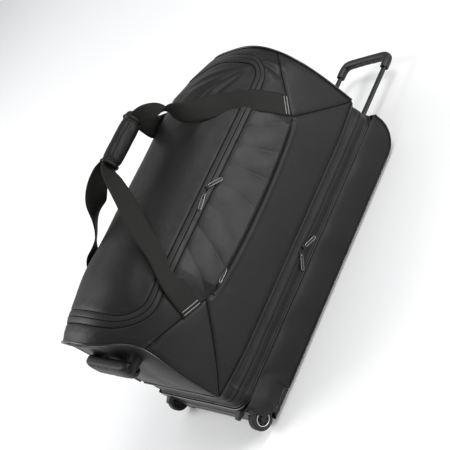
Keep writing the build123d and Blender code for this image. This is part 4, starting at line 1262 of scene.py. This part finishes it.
# Hub: black moulded ABS with a dull gloss.
black_abs = grained("black_abs_hub", "#121213", 0.5, "Noise", 0.1, 0.0002, specular=0.3, Scale=700.0)

turns = np.linspace(0, 2 * np.pi, 72, endpoint=False)
for side_name, side in (("near", -1), ("far", 1)):
    low, high = (np.array(corner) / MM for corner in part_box(f"wheel_hub_{side_name}"))
    centre, reach = (low + high) / 2, (high[0] - low[0]) / 2 - 0.6
    face = low[1] - 0.2 if side < 0 else high[1] + 0.2
    line = [(centre[0] + reach * math.cos(a), face, centre[2] + reach * math.sin(a)) for a in turns]
    trim = tube(f"hub_ring_{side_name}_0", np.array(line) * MM, 1.1 * MM, plated_abs, closed=True, sides=10)
    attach(trim, f"wheel_{side_name}")

# Axles and bearings are painted black like the sliders, and the feet are the rubber of the pulls.
finishes = {
    "kick_plate": nylon, "wheel_guard_near": nylon, "wheel_guard_far": nylon, "skid_rails": nylon,
    "handle_escutcheon": nylon, "tube_bracket": nylon,
    "stage_collars": nylon, "release_button": nylon, "standing_feet": pull_rubber, "outer_tubes": anodised,
    "middle_tubes": anodised, "inner_tubes": anodised, "wheel_tyre_near": tyre, "wheel_tyre_far": tyre,
    "wheel_hub_near": black_abs, "wheel_hub_far": black_abs, "wheel_axles": black_zinc,
    "escutcheon_screws": zinc_steel, "wheel_bearings_near": black_zinc, "wheel_bearings_far": black_zinc,
    "frame_board": hardboard,
}
for node_name, finish in finishes.items():
    part = nodes[node_name]
    part.data.materials.clear()
    part.data.materials.append(finish)

# ---------------------------------------------------------------- pull grip
# Two nylon half shells, screwed together round the tube ends: a bar with rounded corners that
# turns down into two sockets, with a soft-touch skin and a parting line round the middle.

# Soft-touch nylon: moulded black with a rubbery lacquer, so its highlights are broad.
soft_touch = grained("soft_touch_nylon", "#121213", 0.5, "Noise", 0.2, 0.0002, specular=0.45,
                     Scale=1400.0, Detail=2.0)

grip_corners = (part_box("grip_shell_back")[0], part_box("grip_shell_front")[1])
GRIP = [value / MM for corner in grip_corners for value in corner]
GRIP_Z = (GRIP[2] + GRIP[5]) / 2
SOCKET_Y = 85.0
grip_stops = [(GRIP[0] + 1, -SOCKET_Y, 9.4, 10.4), (GRIP[0] + 12, -SOCKET_Y, 9.8, 10.8),
              (GRIP[0] + 24, -SOCKET_Y + 1, 9.8, 11.0), (GRIP[3] - 17, -SOCKET_Y + 6, 10.2, 11.4),
              (GRIP[3] - 12.5, -SOCKET_Y + 19, 10.6, 11.8),
              (GRIP[3] - 11.5, -40, 10.4, 11.6), (GRIP[3] - 11, 0, 10.2, 11.4)]
grip_stops += [(x, -y, a, b) for x, y, a, b in grip_stops[-2::-1]]
for name, half in (("pull_grip_back", -1), ("pull_grip_front", 1)):
    path = smooth_path(grip_stops, 150)
    ahead = np.gradient(path[:, :2], axis=0)
    ahead /= np.linalg.norm(ahead, axis=1, keepdims=True)
    out = np.stack([ahead[:, 1], -ahead[:, 0]], -1)
    around = np.concatenate([[0.0], np.linspace(0.03, np.pi - 0.03, 22), [np.pi]])
    grid = np.zeros((len(path), len(around), 3))
    for i in range(len(path)):
        c = np.cos(around)
        lip = np.where((around < 0.02) | (around > np.pi - 0.02), 0.7, 0.0)
        grip_wave = 0.35 * math.cos(path[i, 1] * 2 * math.pi / 24) * (abs(path[i, 1]) < 60)
        radius = path[i, 2] - lip + grip_wave * (c < 0)
        grid[i, :, :2] = path[i, :2] + out[i] * (np.sign(c) * np.abs(c) ** 0.85 * radius)[:, None]
        grid[i, :, 2] = GRIP_Z + half * (np.sin(around) ** 0.85 * path[i, 3] + 0.15)
    shell = grid_piece(name, grid * MM, soft_touch, middle=np.array([0.49, 0.0, (GRIP_Z - half * 40) * MM]))
    thicken(shell, 2.0 * MM)
    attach(shell, "pull_handle")
    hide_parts("grip_shell_back" if half < 0 else "grip_shell_front")
